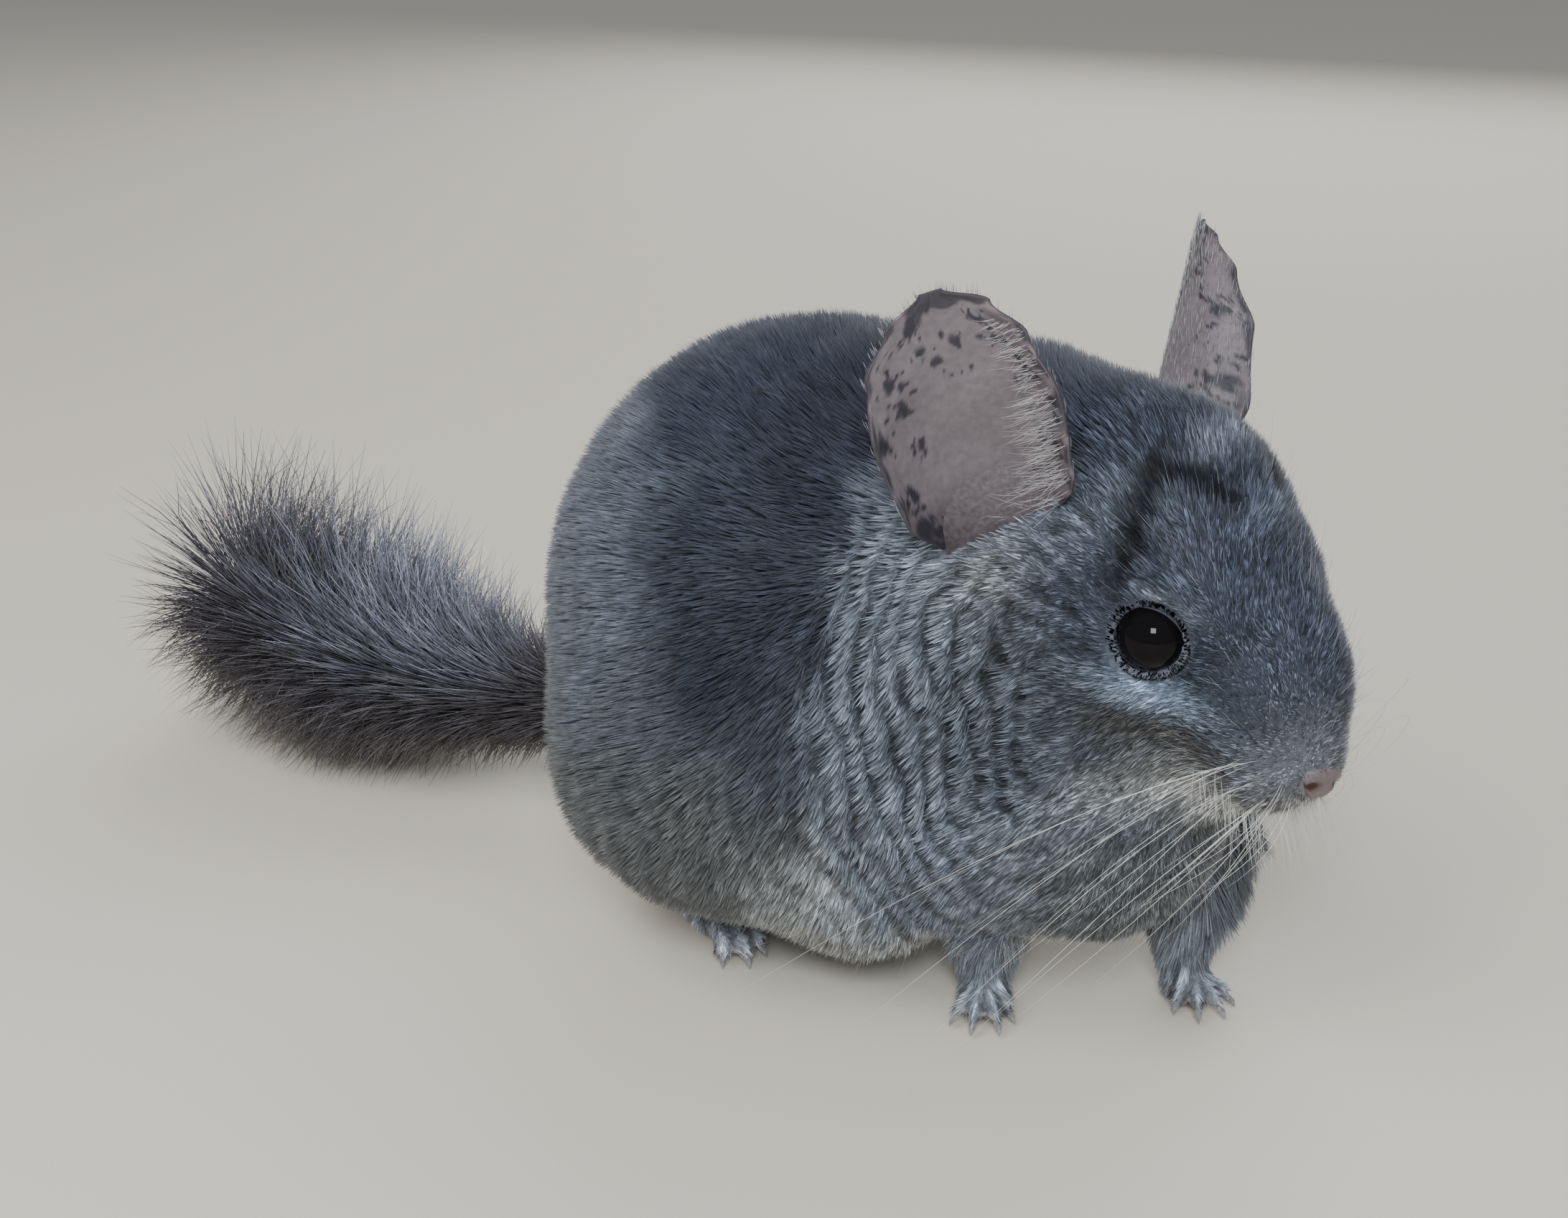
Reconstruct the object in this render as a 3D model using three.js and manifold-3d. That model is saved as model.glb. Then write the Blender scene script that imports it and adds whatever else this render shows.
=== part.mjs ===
// A chinchilla standing on all fours, life size, as a still museum model.
// Millimetres. +X is the way the chest points, +Y is the animal's left, +Z is up and the floor is at z = 0.
// The finished group is moved so that the middle of its footprint is the origin.
import * as THREE from "three";
import { mergeVertices } from "three/addons/utils/BufferGeometryUtils.js";
import Module from "manifold-3d";

const wasm = await Module();
wasm.setup();

// Driving dimensions
const GAP = 0.3;
const BODY_SOFTNESS = 14;
const HEAD_SOFTNESS = 7;
const NECK_SOFTNESS = 14;

const HEAD_PLACE = [27.5, 8.2, 95.2];
const HEAD_TURN_DEG = -3;
const HEAD_NOD_DEG = 25.5;

const EYE_RADIUS = 6.2;
const EYE_PROUD = 1.8;
const LID_RADIUS = 5.2;
const LID_THICKNESS = 0.8;

const EAR_LENGTH = 51;
const EAR_THICKNESS = 1.1;

// Plain helpers
const v = (x, y, z) => new THREE.Vector3(x, y, z);
const rad = THREE.MathUtils.degToRad;
const lerp = THREE.MathUtils.lerp;
const smooth = THREE.MathUtils.smoothstep;

// A seeded draw, so that every build gives the same animal.
function seededDraw(seed) {
  let state = seed;
  return () => {
    state = (state * 1664525 + 1013904223) % 4294967296;
    return state / 4294967296;
  };
}

// Solids from geometries and back
function solidOf(geometry) {
  const bare = geometry.index ? geometry.toNonIndexed() : geometry.clone();
  for (const name of Object.keys(bare.attributes)) {
    if (name !== "position") bare.deleteAttribute(name);
  }
  const merged = mergeVertices(bare, 1e-4);
  return new wasm.Manifold(
    new wasm.Mesh({
      numProp: 3,
      vertProperties: merged.attributes.position.array,
      triVerts: new Uint32Array(merged.index.array),
    }),
  );
}

function geometryOf(solid) {
  const mesh = solid.getMesh();
  const points = new Float32Array(mesh.numVert * 3);
  for (let i = 0; i < mesh.numVert; i++) {
    points.set(mesh.vertProperties.subarray(i * mesh.numProp, i * mesh.numProp + 3), i * 3);
  }
  const geometry = new THREE.BufferGeometry();
  geometry.setAttribute("position", new THREE.BufferAttribute(points, 3));
  geometry.setIndex(new THREE.BufferAttribute(mesh.triVerts, 1));
  return geometry;
}

// The largest closed surface of a solid: drops loose scraps and fills what the fusing sealed.
function largest(solid) {
  const bodies = solid.decompose();
  return bodies.reduce((best, body) => (body.volume() > best.volume() ? body : best));
}

// A solid from points and triangles that all face one way, turned outward if they face inward.
function solidFrom(points, triangles) {
  const geometry = new THREE.BufferGeometry().setFromPoints(points);
  geometry.setIndex(triangles);
  const solid = solidOf(geometry);
  if (solid.volume() > 0) return solid;
  for (let i = 0; i < triangles.length; i += 3) {
    [triangles[i + 1], triangles[i + 2]] = [triangles[i + 2], triangles[i + 1]];
  }
  geometry.setIndex(triangles);
  return solidOf(geometry);
}

// A solid from a ring-by-ring loft: rings of points between two poles.
function loftBetweenPoles(first, rings, last) {
  const points = [first, ...rings.flat(), last];
  const sides = rings[0].length;
  const at = (ring, side) => 1 + ring * sides + (side % sides);
  const triangles = [];
  for (let side = 0; side < sides; side++) {
    triangles.push(0, at(0, side + 1), at(0, side));
    for (let ring = 0; ring + 1 < rings.length; ring++) {
      triangles.push(at(ring, side), at(ring, side + 1), at(ring + 1, side));
      triangles.push(at(ring, side + 1), at(ring + 1, side + 1), at(ring + 1, side));
    }
    triangles.push(at(rings.length - 1, side), at(rings.length - 1, side + 1), points.length - 1);
  }
  return solidFrom(points, triangles);
}

// A closed tube of round or flattened section along a smooth curve. widths are half widths along the curve,
// flatness is the share of the width that the section has across it, and flat is the direction it is thin in.
function taperedTube(path, widths, { sides = 8, steps = 8, flatness = 1, flat = v(0, 0, 1) } = {}) {
  const curve = new THREE.CatmullRomCurve3(path, false, "centripetal");
  const rings = [];
  const widthAt = (t) => {
    const place = t * (widths.length - 1);
    const index = Math.min(Math.floor(place), widths.length - 2);
    return lerp(widths[index], widths[index + 1], place - index);
  };
  for (let step = 1; step < steps; step++) {
    const t = step / steps;
    const centre = curve.getPoint(t);
    const along = curve.getTangent(t);
    const across = v(0, 0, 0).crossVectors(flat, along).normalize();
    const thin = v(0, 0, 0).crossVectors(along, across).normalize();
    const width = widthAt(t);
    const ring = [];
    for (let side = 0; side < sides; side++) {
      const angle = (side / sides) * Math.PI * 2;
      ring.push(
        centre
          .clone()
          .addScaledVector(across, Math.cos(angle) * width)
          .addScaledVector(thin, Math.sin(angle) * width * flatness),
      );
    }
    rings.push(ring);
  }
  return loftBetweenPoles(curve.getPoint(0), rings, curve.getPoint(1));
}

// The half of space on the side of a plane that its normal points to, as a very large block.
const BLOCK = 600;
function halfSpace(point, normal) {
  const block = new THREE.BoxGeometry(BLOCK, BLOCK, BLOCK);
  block.translate(0, 0, BLOCK / 2);
  block.applyQuaternion(new THREE.Quaternion().setFromUnitVectors(v(0, 0, 1), normal.clone().normalize()));
  block.translate(point.x, point.y, point.z);
  return solidOf(block);
}

// Soft lumps: an ellipsoid's distance, and their smooth union
function lump(place, radii, turnDeg = 0, nodDeg = 0) {
  const turn = new THREE.Quaternion().setFromEuler(new THREE.Euler(0, rad(nodDeg), rad(turnDeg), "ZYX"));
  return { centre: v(...place), radii: v(...radii), inverse: turn.invert() };
}

const scratch = v(0, 0, 0);
function lumpDistance(point, { centre, radii, inverse }) {
  scratch.copy(point).sub(centre).applyQuaternion(inverse);
  const k0 = Math.hypot(scratch.x / radii.x, scratch.y / radii.y, scratch.z / radii.z);
  const k1 = Math.hypot(scratch.x / radii.x ** 2, scratch.y / radii.y ** 2, scratch.z / radii.z ** 2);
  return k1 < 1e-9 ? -Math.min(radii.x, radii.y, radii.z) : (k0 * (k0 - 1)) / k1;
}

function softMin(a, b, softness) {
  const share = Math.max(softness - Math.abs(a - b), 0) / softness;
  return Math.min(a, b) - (share * share * softness) / 4;
}

const softUnion = (lumps, softness) => (point) =>
  lumps.reduce((sum, each) => softMin(sum, lumpDistance(point, each), softness), 1e6);

// Mirrors a lump on the animal's right (negative y) to its left, about the plane y = middle.
const both = (place, radii, turnDeg = 0, nodDeg = 0, middle = 0) => [
  lump(place, radii, turnDeg, nodDeg),
  lump([place[0], 2 * middle - place[1], place[2]], radii, -turnDeg, nodDeg),
];

// The distance from a centre, along a direction, to where the field passes a level.
function reachOf(field, centre, direction, level = 0, farthest = 200) {
  const at = (t) => field(centre.clone().addScaledVector(direction, t)) - level;
  let near = 0;
  let far = 0;
  while (at(far) < 0 && far < farthest) {
    near = far;
    far += Math.max(0.6, -at(far) * 0.6);
  }
  for (let i = 0; i < 16; i++) {
    const middle = (near + far) / 2;
    if (at(middle) < 0) near = middle;
    else far = middle;
  }
  return near;
}

// A closed form seen from a centre: rings of points round an axis, each at the field's surface.
// crowd over 1 sets the rings closer together near the first pole.
function castForm(field, centre, axis, { rings, sides, crowd = 1, level = 0 }) {
  const pole = axis.clone().normalize();
  const across = v(0, 1, 0).addScaledVector(pole, -pole.y).normalize();
  const third = v(0, 0, 0).crossVectors(pole, across);
  const surface = (polar, round) => {
    const direction = pole
      .clone()
      .multiplyScalar(Math.cos(polar))
      .addScaledVector(across, Math.sin(polar) * Math.cos(round))
      .addScaledVector(third, Math.sin(polar) * Math.sin(round));
    return centre.clone().addScaledVector(direction, reachOf(field, centre, direction, level));
  };
  const loops = [];
  for (let ring = 1; ring < rings; ring++) {
    const polar = Math.PI * (ring / rings) ** crowd;
    const shift = (ring % 2) / 2;
    const turnOf = (side) => ((side + shift) / sides) * Math.PI * 2;
    loops.push(Array.from({ length: sides }, (_, side) => surface(polar, turnOf(side))));
  }
  return loftBetweenPoles(surface(0, 0), loops, surface(Math.PI, 0));
}

// The body's soft lumps, in the body's frame
const BODY_MIDDLE = 6;
const bodyLumps = [
  lump([-60, BODY_MIDDLE, 73], [59, 57, 61]),
  lump([-48, BODY_MIDDLE, 52], [56, 50, 32]),
  ...both([-64, -25, 44], [36, 30, 29], 0, 0, BODY_MIDDLE),
  ...both([-32, -16, 24], [17, 14, 15], 0, 0, BODY_MIDDLE),
  lump([-20, 8, 95], [40, 40, 42]),
  lump([-8, 9, 56], [34, 36, 36]),
  lump([7, 12, 43], [23, 26, 23]),
];

// The head's soft lumps, in the head's frame: origin midway between the eyes, +X along the muzzle
const headLumps = [
  lump([-17, 0, 5], [27, 25, 26]),
  ...both([-12, -13, -9], [21, 14, 15.5]),
  ...both([1, -14, 8], [10, 7.5, 7.5]),
  lump([8, 0, -1], [20, 17, 17]),
  lump([19, 0, -7], [14, 13.5, 14]),
  lump([30.5, 0, -13], [6, 6.5, 6.5]),
  ...both([24.5, -7.5, -16.5], [8.5, 7, 7]),
  lump([20, 0, -23.5], [7.5, 6.5, 5.5]),
  lump([2, 0, -18], [18, 14.5, 10.5]),
];

const headFrame = new THREE.Matrix4().compose(
  v(...HEAD_PLACE),
  new THREE.Quaternion().setFromEuler(new THREE.Euler(0, rad(HEAD_NOD_DEG), rad(HEAD_TURN_DEG), "ZYX")),
  v(1, 1, 1),
);
const toHead = headFrame.clone().invert();
const fromHead = (x, y, z) => v(x, y, z).applyMatrix4(headFrame);

const bodyField = softUnion(bodyLumps, BODY_SOFTNESS);
const headAlone = softUnion(headLumps, HEAD_SOFTNESS);
const wholeField = (point) =>
  softMin(bodyField(point), headAlone(point.clone().applyMatrix4(toHead)), NECK_SOFTNESS);
const wholeInHead = (point) => wholeField(point.clone().applyMatrix4(headFrame));

// Materials
const finish = (color, roughness = 0.9) => new THREE.MeshStandardMaterial({ color, roughness, metalness: 0 });
const coatGrey = finish(0x6c7078);
const headGrey = finish(0x74787f);
const pawGrey = finish(0x9aa1aa);
const tailGrey = finish(0x5e5c60);
const earSkin = finish(0xa8989a, 0.7);
const eyeBlack = finish(0x050506, 0.05);
const clawHorn = finish(0x3b3432, 0.5);

const chinchilla = new THREE.Group();
const headGroup = new THREE.Group();
headGroup.position.set(...HEAD_PLACE);
headGroup.rotation.set(0, rad(HEAD_NOD_DEG), rad(HEAD_TURN_DEG), "ZYX");
chinchilla.add(headGroup);

function addNode(parent, name, solid, material) {
  const mesh = new THREE.Mesh(geometryOf(solid), material);
  mesh.name = name;
  parent.add(mesh);
  return mesh;
}

// Where the head, the neck and the torso part: two planes across the neck and one under the jaw
const NECK_FRONT = v(-37, 0, -6);
const NECK_LENGTH = 18;
const NECK_LEAN = v(1, 0, 0.15).normalize();
const JAW_UNDER = v(0, 0, -31);
const JAW_LEAN = v(-0.12, 0, 1).normalize();
const before = (distance, shift = 0) =>
  halfSpace(NECK_FRONT.clone().addScaledVector(NECK_LEAN, shift - distance), NECK_LEAN);
const behind = (distance, shift = 0) =>
  halfSpace(NECK_FRONT.clone().addScaledVector(NECK_LEAN, -shift - distance), NECK_LEAN.clone().negate());
const overJaw = (shift = 0) => halfSpace(JAW_UNDER.clone().addScaledVector(JAW_LEAN, shift), JAW_LEAN);

// Head, in the head's frame
const HEAD_CENTRE = v(-6, 0, -3);
const MUZZLE_AXIS = v(1, 0, -0.34);
const headForm = { rings: 30, sides: 36, crowd: 1.25 };
const headShell = castForm(wholeInHead, HEAD_CENTRE, MUZZLE_AXIS, headForm);

// The eyes look straight out to the sides and stand a little proud of the face.
const faceHalfWidth = reachOf(headAlone, v(0, 0, 0), v(0, -1, 0));
const EYE_SIDE = faceHalfWidth + EYE_PROUD - EYE_RADIUS;

function eyeBall(radius, side) {
  const ball = new THREE.SphereGeometry(radius, 12, 9);
  ball.rotateZ(side > 0 ? 0 : Math.PI);
  ball.translate(0, side * EYE_SIDE, 0);
  return solidOf(ball);
}

// The lid is a rim round the eye, a little proud of the face.
function lidRim(side) {
  const rim = new THREE.TorusGeometry(LID_RADIUS + LID_THICKNESS * 0.5, LID_THICKNESS, 5, 18);
  rim.scale(1.06, 1, 1);
  rim.rotateX(Math.PI / 2);
  rim.translate(0, side * (faceHalfWidth - 0.7), 0);
  return solidOf(rim);
}

// A point of the face's surface, under a guess given in the head's frame, sunk by a depth.
function onFace(x, y, z, depth = 0) {
  const direction = v(x, y, z).sub(HEAD_CENTRE).normalize();
  return HEAD_CENTRE.clone().addScaledVector(direction, reachOf(wholeInHead, HEAD_CENTRE, direction) - depth);
}

// A groove is a round tube laid in the surface, cut away to half its width.
const groove = (guesses, width) =>
  taperedTube(
    guesses.map((each) => onFace(...each)),
    [width, width, width, width],
    { sides: 5, steps: 2 * guesses.length, flat: v(1, 0, 0.3) },
  );

// The nostrils are slanting slits, the lip is cleft below them, and the mouth curves back from the cleft.
const NOSTRIL_SIDE = 3.2;
const nostril = (side) =>
  taperedTube(
    [
      onFace(36, side * (NOSTRIL_SIDE - 1.6), -14.6, 0.3),
      onFace(35, side * NOSTRIL_SIDE, -13.6, 0.7),
      onFace(33, side * (NOSTRIL_SIDE + 2), -12.6, 0.2),
    ],
    [0.6, 1.2, 1.1, 0.5],
    { sides: 6, steps: 5, flat: v(0, 0, 1) },
  );
const mouth = (side) =>
  groove(
    [
      [32, side * 0.4, -20.5],
      [29, side * 4, -21.6],
      [24, side * 7.5, -21.4],
      [18.4, side * 9.9, -19.6],
    ],
    0.65,
  );

let head = headShell;
for (const side of [-1, 1]) head = head.subtract(nostril(side)).subtract(mouth(side));
head = head.subtract(groove([[36, 0, -16], [34.5, 0, -18.3], [32, 0, -20.6]], 0.55));
for (const side of [-1, 1]) head = head.add(lidRim(side));
for (const side of [-1, 1]) head = head.subtract(eyeBall(EYE_RADIUS + GAP, side));
head = head.intersect(before(0, GAP / 2)).intersect(overJaw(GAP / 2));
addNode(headGroup, "head", largest(head), headGrey);
addNode(headGroup, "eye_right", eyeBall(EYE_RADIUS, -1), eyeBlack);
addNode(headGroup, "eye_left", eyeBall(EYE_RADIUS, 1), eyeBlack);

// The neck is a short slab of the same skin, from the back of the ears to the shoulders.
const neckCentre = NECK_FRONT.clone().addScaledVector(NECK_LEAN, -NECK_LENGTH / 2);
const neckForm = { rings: 20, sides: 32 };
const neckShell = castForm(wholeInHead, neckCentre, NECK_LEAN, neckForm);
const neck = neckShell
  .intersect(behind(0, GAP / 2))
  .intersect(before(NECK_LENGTH, GAP / 2))
  .intersect(overJaw(GAP / 2));
addNode(headGroup, "neck", largest(neck), coatGrey);

// Ears: a thin cupped shell. height runs from the root to the tip, spread from the back rim to the front rim.
const profile = (stations) => (height) => {
  const beyond = stations.findIndex((each, i) => i > 0 && height < each[0]);
  const index = beyond < 0 ? stations.length - 1 : beyond;
  const [from, to] = [stations[index - 1], stations[index]];
  return lerp(from[1], to[1], smooth(height, from[0], to[0]));
};
const earArc = profile([[-0.2, 7], [0.05, 12], [0.34, 21.5], [0.6, 20], [0.8, 15.5], [0.92, 9.5], [1, 2]]);
const earCurl = profile([[-0.2, 6], [0.05, 10], [0.34, 15.6], [0.6, 20], [1, 34]]);

function earShell(side, rootSide, lean) {
  const root = v(-29, side * rootSide, -3);
  const along = v(-0.455, side * lean, 0.82).normalize();
  const opening = v(0.77, side * 0.61, 0.18);
  opening.addScaledVector(along, -opening.dot(along)).normalize();
  const across = v(0, 0, 0).crossVectors(along, opening);
  const ROWS = 11;
  const COLUMNS = 9;
  const point = (height, spread, depth) => {
    const radius = earCurl(height);
    const angle = (spread * earArc(height)) / radius;
    const out = radius - depth;
    return root
      .clone()
      .addScaledVector(along, height * EAR_LENGTH)
      .addScaledVector(across, Math.sin(angle) * out)
      .addScaledVector(opening, radius - Math.cos(angle) * out - 6);
  };
  const grid = (depth) =>
    Array.from({ length: ROWS + 1 }, (_, row) =>
      Array.from({ length: COLUMNS + 1 }, (_, column) => {
        const height = lerp(-0.16, 1, Math.sin((row / ROWS) * Math.PI * 0.5));
        return point(height, (2 * column) / COLUMNS - 1, depth);
      }),
    );
  const inner = grid(EAR_THICKNESS / 2).flat();
  const outer = grid(-EAR_THICKNESS / 2).flat();
  const at = (row, column, face) => face * inner.length + row * (COLUMNS + 1) + column;
  const triangles = [];
  const quad = (a, b, c, d) => triangles.push(a, b, c, a, c, d);
  for (let row = 0; row < ROWS; row++) {
    for (let column = 0; column < COLUMNS; column++) {
      const corners = (face) => [
        at(row, column, face),
        at(row, column + 1, face),
        at(row + 1, column + 1, face),
        at(row + 1, column, face),
      ];
      const [a, b, c, d] = corners(0);
      triangles.push(a, b, c, a, c, d);
      const [e, f, g, h] = corners(1);
      triangles.push(e, g, f, e, h, g);
    }
    quad(at(row, 0, 1), at(row, 0, 0), at(row + 1, 0, 0), at(row + 1, 0, 1));
    quad(at(row, COLUMNS, 0), at(row, COLUMNS, 1), at(row + 1, COLUMNS, 1), at(row + 1, COLUMNS, 0));
  }
  for (let column = 0; column < COLUMNS; column++) {
    quad(at(0, column, 1), at(0, column + 1, 1), at(0, column + 1, 0), at(0, column, 0));
    quad(at(ROWS, column, 0), at(ROWS, column + 1, 0), at(ROWS, column + 1, 1), at(ROWS, column, 1));
  }
  return solidFrom([...inner, ...outer], triangles);
}
const headGrown = castForm(wholeInHead, HEAD_CENTRE, MUZZLE_AXIS, { ...headForm, level: GAP });
const neckGrown = castForm(wholeInHead, neckCentre, NECK_LEAN, { ...neckForm, level: GAP });
const ears = [
  { name: "ear_right", side: -1, rootSide: 25.5, lean: 0.34 },
  { name: "ear_left", side: 1, rootSide: 27.5, lean: 0.42 },
];
for (const { name, side, rootSide, lean } of ears) {
  const ear = earShell(side, rootSide, lean).subtract(headGrown).subtract(neckGrown);
  addNode(headGroup, name, largest(ear), earSkin);
}

// Torso, in the body's frame
const TORSO_CENTRE = v(-50, BODY_MIDDLE, 62);
const torsoForm = { rings: 24, sides: 36 };
const torsoShell = castForm(wholeField, TORSO_CENTRE, v(-1, 0, 0), torsoForm);
const headAndNeck = before(NECK_LENGTH, -GAP / 2).intersect(overJaw(-GAP / 2)).transform(headFrame.elements);
const BELLY_HEIGHT = 5;
const torso = torsoShell.subtract(headAndNeck).intersect(halfSpace(v(0, 0, BELLY_HEIGHT), v(0, 0, 1)));
addNode(chinchilla, "torso", largest(torso), coatGrey);
const torsoGrown = castForm(wholeField, TORSO_CENTRE, v(-1, 0, 0), { ...torsoForm, level: GAP });
const bodyGrown = torsoGrown
  .add(headGrown.transform(headFrame.elements))
  .intersect(halfSpace(v(0, 0, BELLY_HEIGHT - GAP), v(0, 0, 1)));

// Feet: a palm, toes fanned from it and a claw in the end of each toe, in a frame with +X along the foot
const floorSide = halfSpace(v(0, 0, 0), v(0, 0, 1));
const CLAW_RADIUS = 0.8;
function footSolids({ place, turnDeg, palm, toes, toeRadius, shin }) {
  const frame = new THREE.Matrix4().makeRotationZ(rad(turnDeg)).setPosition(place[0], place[1], 0);
  const put = (x, y, z) => v(x, y, z).applyMatrix4(frame);
  const flat = v(0, 0, 1);
  const ball = new THREE.SphereGeometry(1, 12, 8);
  ball.scale(...palm.radii);
  ball.translate(...palm.place);
  ball.applyMatrix4(frame);
  const leg = taperedTube(
    shin.map((p) => put(p[0], p[1], p[2])),
    shin.map((p) => p[3]),
    { sides: 11, steps: 7, flat: v(1, 0, 0).transformDirection(frame) },
  );
  let foot = solidOf(ball).add(leg);
  const claws = [];
  for (const { fanDeg, length } of toes) {
    const out = (distance, z) => put(Math.cos(rad(fanDeg)) * distance, Math.sin(rad(fanDeg)) * distance, z);
    const toe = [out(0, 4.5), out(length * 0.45, 5), out(length * 0.75, 4.2), out(length, 1.8)];
    const toeWidths = [toeRadius, toeRadius, toeRadius * 1.08, toeRadius * 0.95, toeRadius * 0.7];
    foot = foot.add(taperedTube(toe, toeWidths, { sides: 6, steps: 5, flat }));
    const clawPath = [out(length - 1.9, 2.9), out(length - 0.2, 2.6), out(length + 1.2, 1)];
    const clawWidths = [CLAW_RADIUS, CLAW_RADIUS, 0.35];
    const claw = (extra) =>
      taperedTube(
        clawPath,
        clawWidths.map((width) => width + extra),
        { sides: 6, steps: 3, flat },
      );
    foot = foot.subtract(claw(GAP * 1.3));
    claws.push(claw(0));
  }
  return { foot, claws };
}

const forePalm = { place: [1.5, 0, 4.1], radii: [6.5, 5.8, 4.8] };
const hindPalm = { place: [-11, 0, 4.9], radii: [20, 7.2, 5.8] };
const foreToes = (sign) => [
  { fanDeg: sign * 42, length: 8 },
  { fanDeg: sign * 14, length: 10.5 },
  { fanDeg: sign * -14, length: 11 },
  { fanDeg: sign * -40, length: 10 },
];
const hindToes = [
  { fanDeg: 24, length: 11 },
  { fanDeg: 0, length: 13 },
  { fanDeg: -24, length: 12 },
];
const hindShin = [
  [-24, 0, 34, 6],
  [-25, 0, 26, 10],
  [-26, 0, 14, 8.5],
  [-27, 0, 5, 6.5],
  [-26, 0, 1, 4],
];
// A shin's stations are x, y, z and half width, from the body down to the foot.
const feet = [
  {
    name: "foreleg_right",
    place: [-8.5, -4.5],
    turnDeg: -54,
    toes: foreToes(1),
    shin: [
      [-14, 2, 44, 9],
      [-9, 1, 30, 14],
      [-4.5, 0, 18, 11.5],
      [-2, 0, 10, 6.2],
      [0, 0, 3, 4.4],
    ],
  },
  {
    name: "foreleg_left",
    place: [20.5, 25.5],
    turnDeg: -30,
    toes: foreToes(-1),
    shin: [
      [-15, 3, 48, 10],
      [-9, 4, 34, 16],
      [-3.5, 2, 21, 11.5],
      [-1.5, 0, 11, 6.2],
      [0, 0, 3, 4.4],
    ],
  },
  { name: "hindleg_right", place: [-66, -19], turnDeg: -28, toes: hindToes, shin: hindShin },
  { name: "hindleg_left", place: [-64, 31], turnDeg: 24, toes: hindToes, shin: hindShin },
];
for (const { name, ...plan } of feet) {
  const fore = name.startsWith("fore");
  const made = footSolids({ ...plan, palm: fore ? forePalm : hindPalm, toeRadius: fore ? 2.2 : 3 });
  addNode(chinchilla, name, largest(made.foot.subtract(bodyGrown).intersect(floorSide)), pawGrey);
  made.claws.forEach((claw, i) => {
    const clawName = `claw_${name.replace("leg", "")}_${i + 1}`;
    addNode(chinchilla, clawName, largest(claw.intersect(floorSide)), clawHorn);
  });
}

// Tail, in the body's frame: a slim core that bends to the animal's right, with a bush of locks. Each lock is
// flat, tapered and bent. The locks stand up along the top, lie closer below and fan out past the core's end.
const TAIL_END = v(-240, -16, 34);
const tailCurve = new THREE.CatmullRomCurve3(
  [v(-96, 5, 42), v(-126, 3, 29), v(-152, -1, 24), v(-178, -6, 22), v(-212, -12, 24), TAIL_END],
  false,
  "centripetal",
);
const CORE_WIDTHS = [10, 11, 10, 9, 8, 7, 6, 3.5];
const LOCK_ROUNDS = 12;
const draw = seededDraw(20260);
const spread = (amount) => (draw() * 2 - 1) * amount;
const lockLength = profile([[0, 30], [0.3, 36], [0.5, 49], [0.75, 51], [1, 50]]);
const lockLean = profile([[0, 30], [0.3, 40], [0.55, 57], [0.85, 62], [1, 56]]);

function tailLock(t, roundDeg, leanDeg, length) {
  const root = tailCurve.getPoint(t);
  const along = tailCurve.getTangent(t);
  const side = v(0, 0, 0).crossVectors(along, v(0, 0, 1)).normalize();
  const top = v(0, 0, 0).crossVectors(side, along);
  const out = top
    .clone()
    .multiplyScalar(Math.cos(rad(roundDeg)))
    .addScaledVector(side, Math.sin(rad(roundDeg)));
  const bend = 8 + spread(14);
  const place = (share) => {
    const angle = rad(leanDeg - bend * share);
    return root
      .clone()
      .addScaledVector(along, Math.cos(angle) * length * share)
      .addScaledVector(out, Math.sin(angle) * length * share);
  };
  const width = 4 + length * 0.07 + spread(0.6);
  const path = [place(0.02), place(0.4), place(0.75), place(1)];
  for (const point of path) point.z = Math.max(point.z, 1.4);
  const widths = [width * 0.6, width, width, width * 0.55, 0.4];
  return taperedTube(path, widths, { sides: 3, steps: 4, flatness: 0.5, flat: out });
}

const locks = [];
for (let round = 0; round < LOCK_ROUNDS; round++) {
  const t = 0.2 + 0.78 * (round / (LOCK_ROUNDS - 1));
  const count = round % 2 ? 7 : 6;
  for (let i = 0; i < count; i++) {
    const roundDeg = ((i + (round % 2) / 2) / count) * 360 + spread(9);
    const under = (1 - Math.cos(rad(roundDeg))) / 2;
    const length = lockLength(t) * lerp(1, 0.6, under) * (1 + spread(0.12));
    const lean = lockLean(t) * lerp(1.15, 0.7, under) + spread(5);
    locks.push(tailLock(t + spread(0.012), roundDeg, lean, length));
  }
}
// The end's own tuft, which fans out ahead of the core.
const END_LOCKS = 11;
for (let i = 0; i < END_LOCKS; i++) {
  locks.push(tailLock(0.955, i * 137.5, 6 + 40 * Math.sqrt(i / END_LOCKS), 53 + spread(6)));
}

const tailCore = taperedTube(tailCurve.getPoints(8), CORE_WIDTHS, { sides: 10, steps: 14 });
const wholeTail = wasm.Manifold.union([tailCore, ...locks]).intersect(floorSide).subtract(torsoGrown);

// The tail parts along two cones that open the way the locks lean, so that few locks are cut.
function tailCone(t, halfAngleDeg, shift) {
  const depth = 220;
  const cone = new THREE.ConeGeometry(depth * Math.tan(rad(halfAngleDeg)), depth, 28, 1);
  cone.translate(0, -depth / 2, 0);
  cone.applyQuaternion(new THREE.Quaternion().setFromUnitVectors(v(0, -1, 0), tailCurve.getTangent(t)));
  const apex = tailCurve.getPoint(t).addScaledVector(tailCurve.getTangent(t), shift);
  cone.translate(apex.x, apex.y, apex.z);
  return solidOf(cone);
}
const coneShift = (halfAngleDeg) => GAP / Math.sin(rad(halfAngleDeg));
const MID_FROM = 0.4;
const TIP_FROM = 0.66;
const MID_ANGLE = 42;
const TIP_ANGLE = 52;
const tailBase = wholeTail.subtract(tailCone(MID_FROM, MID_ANGLE, 0));
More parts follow.
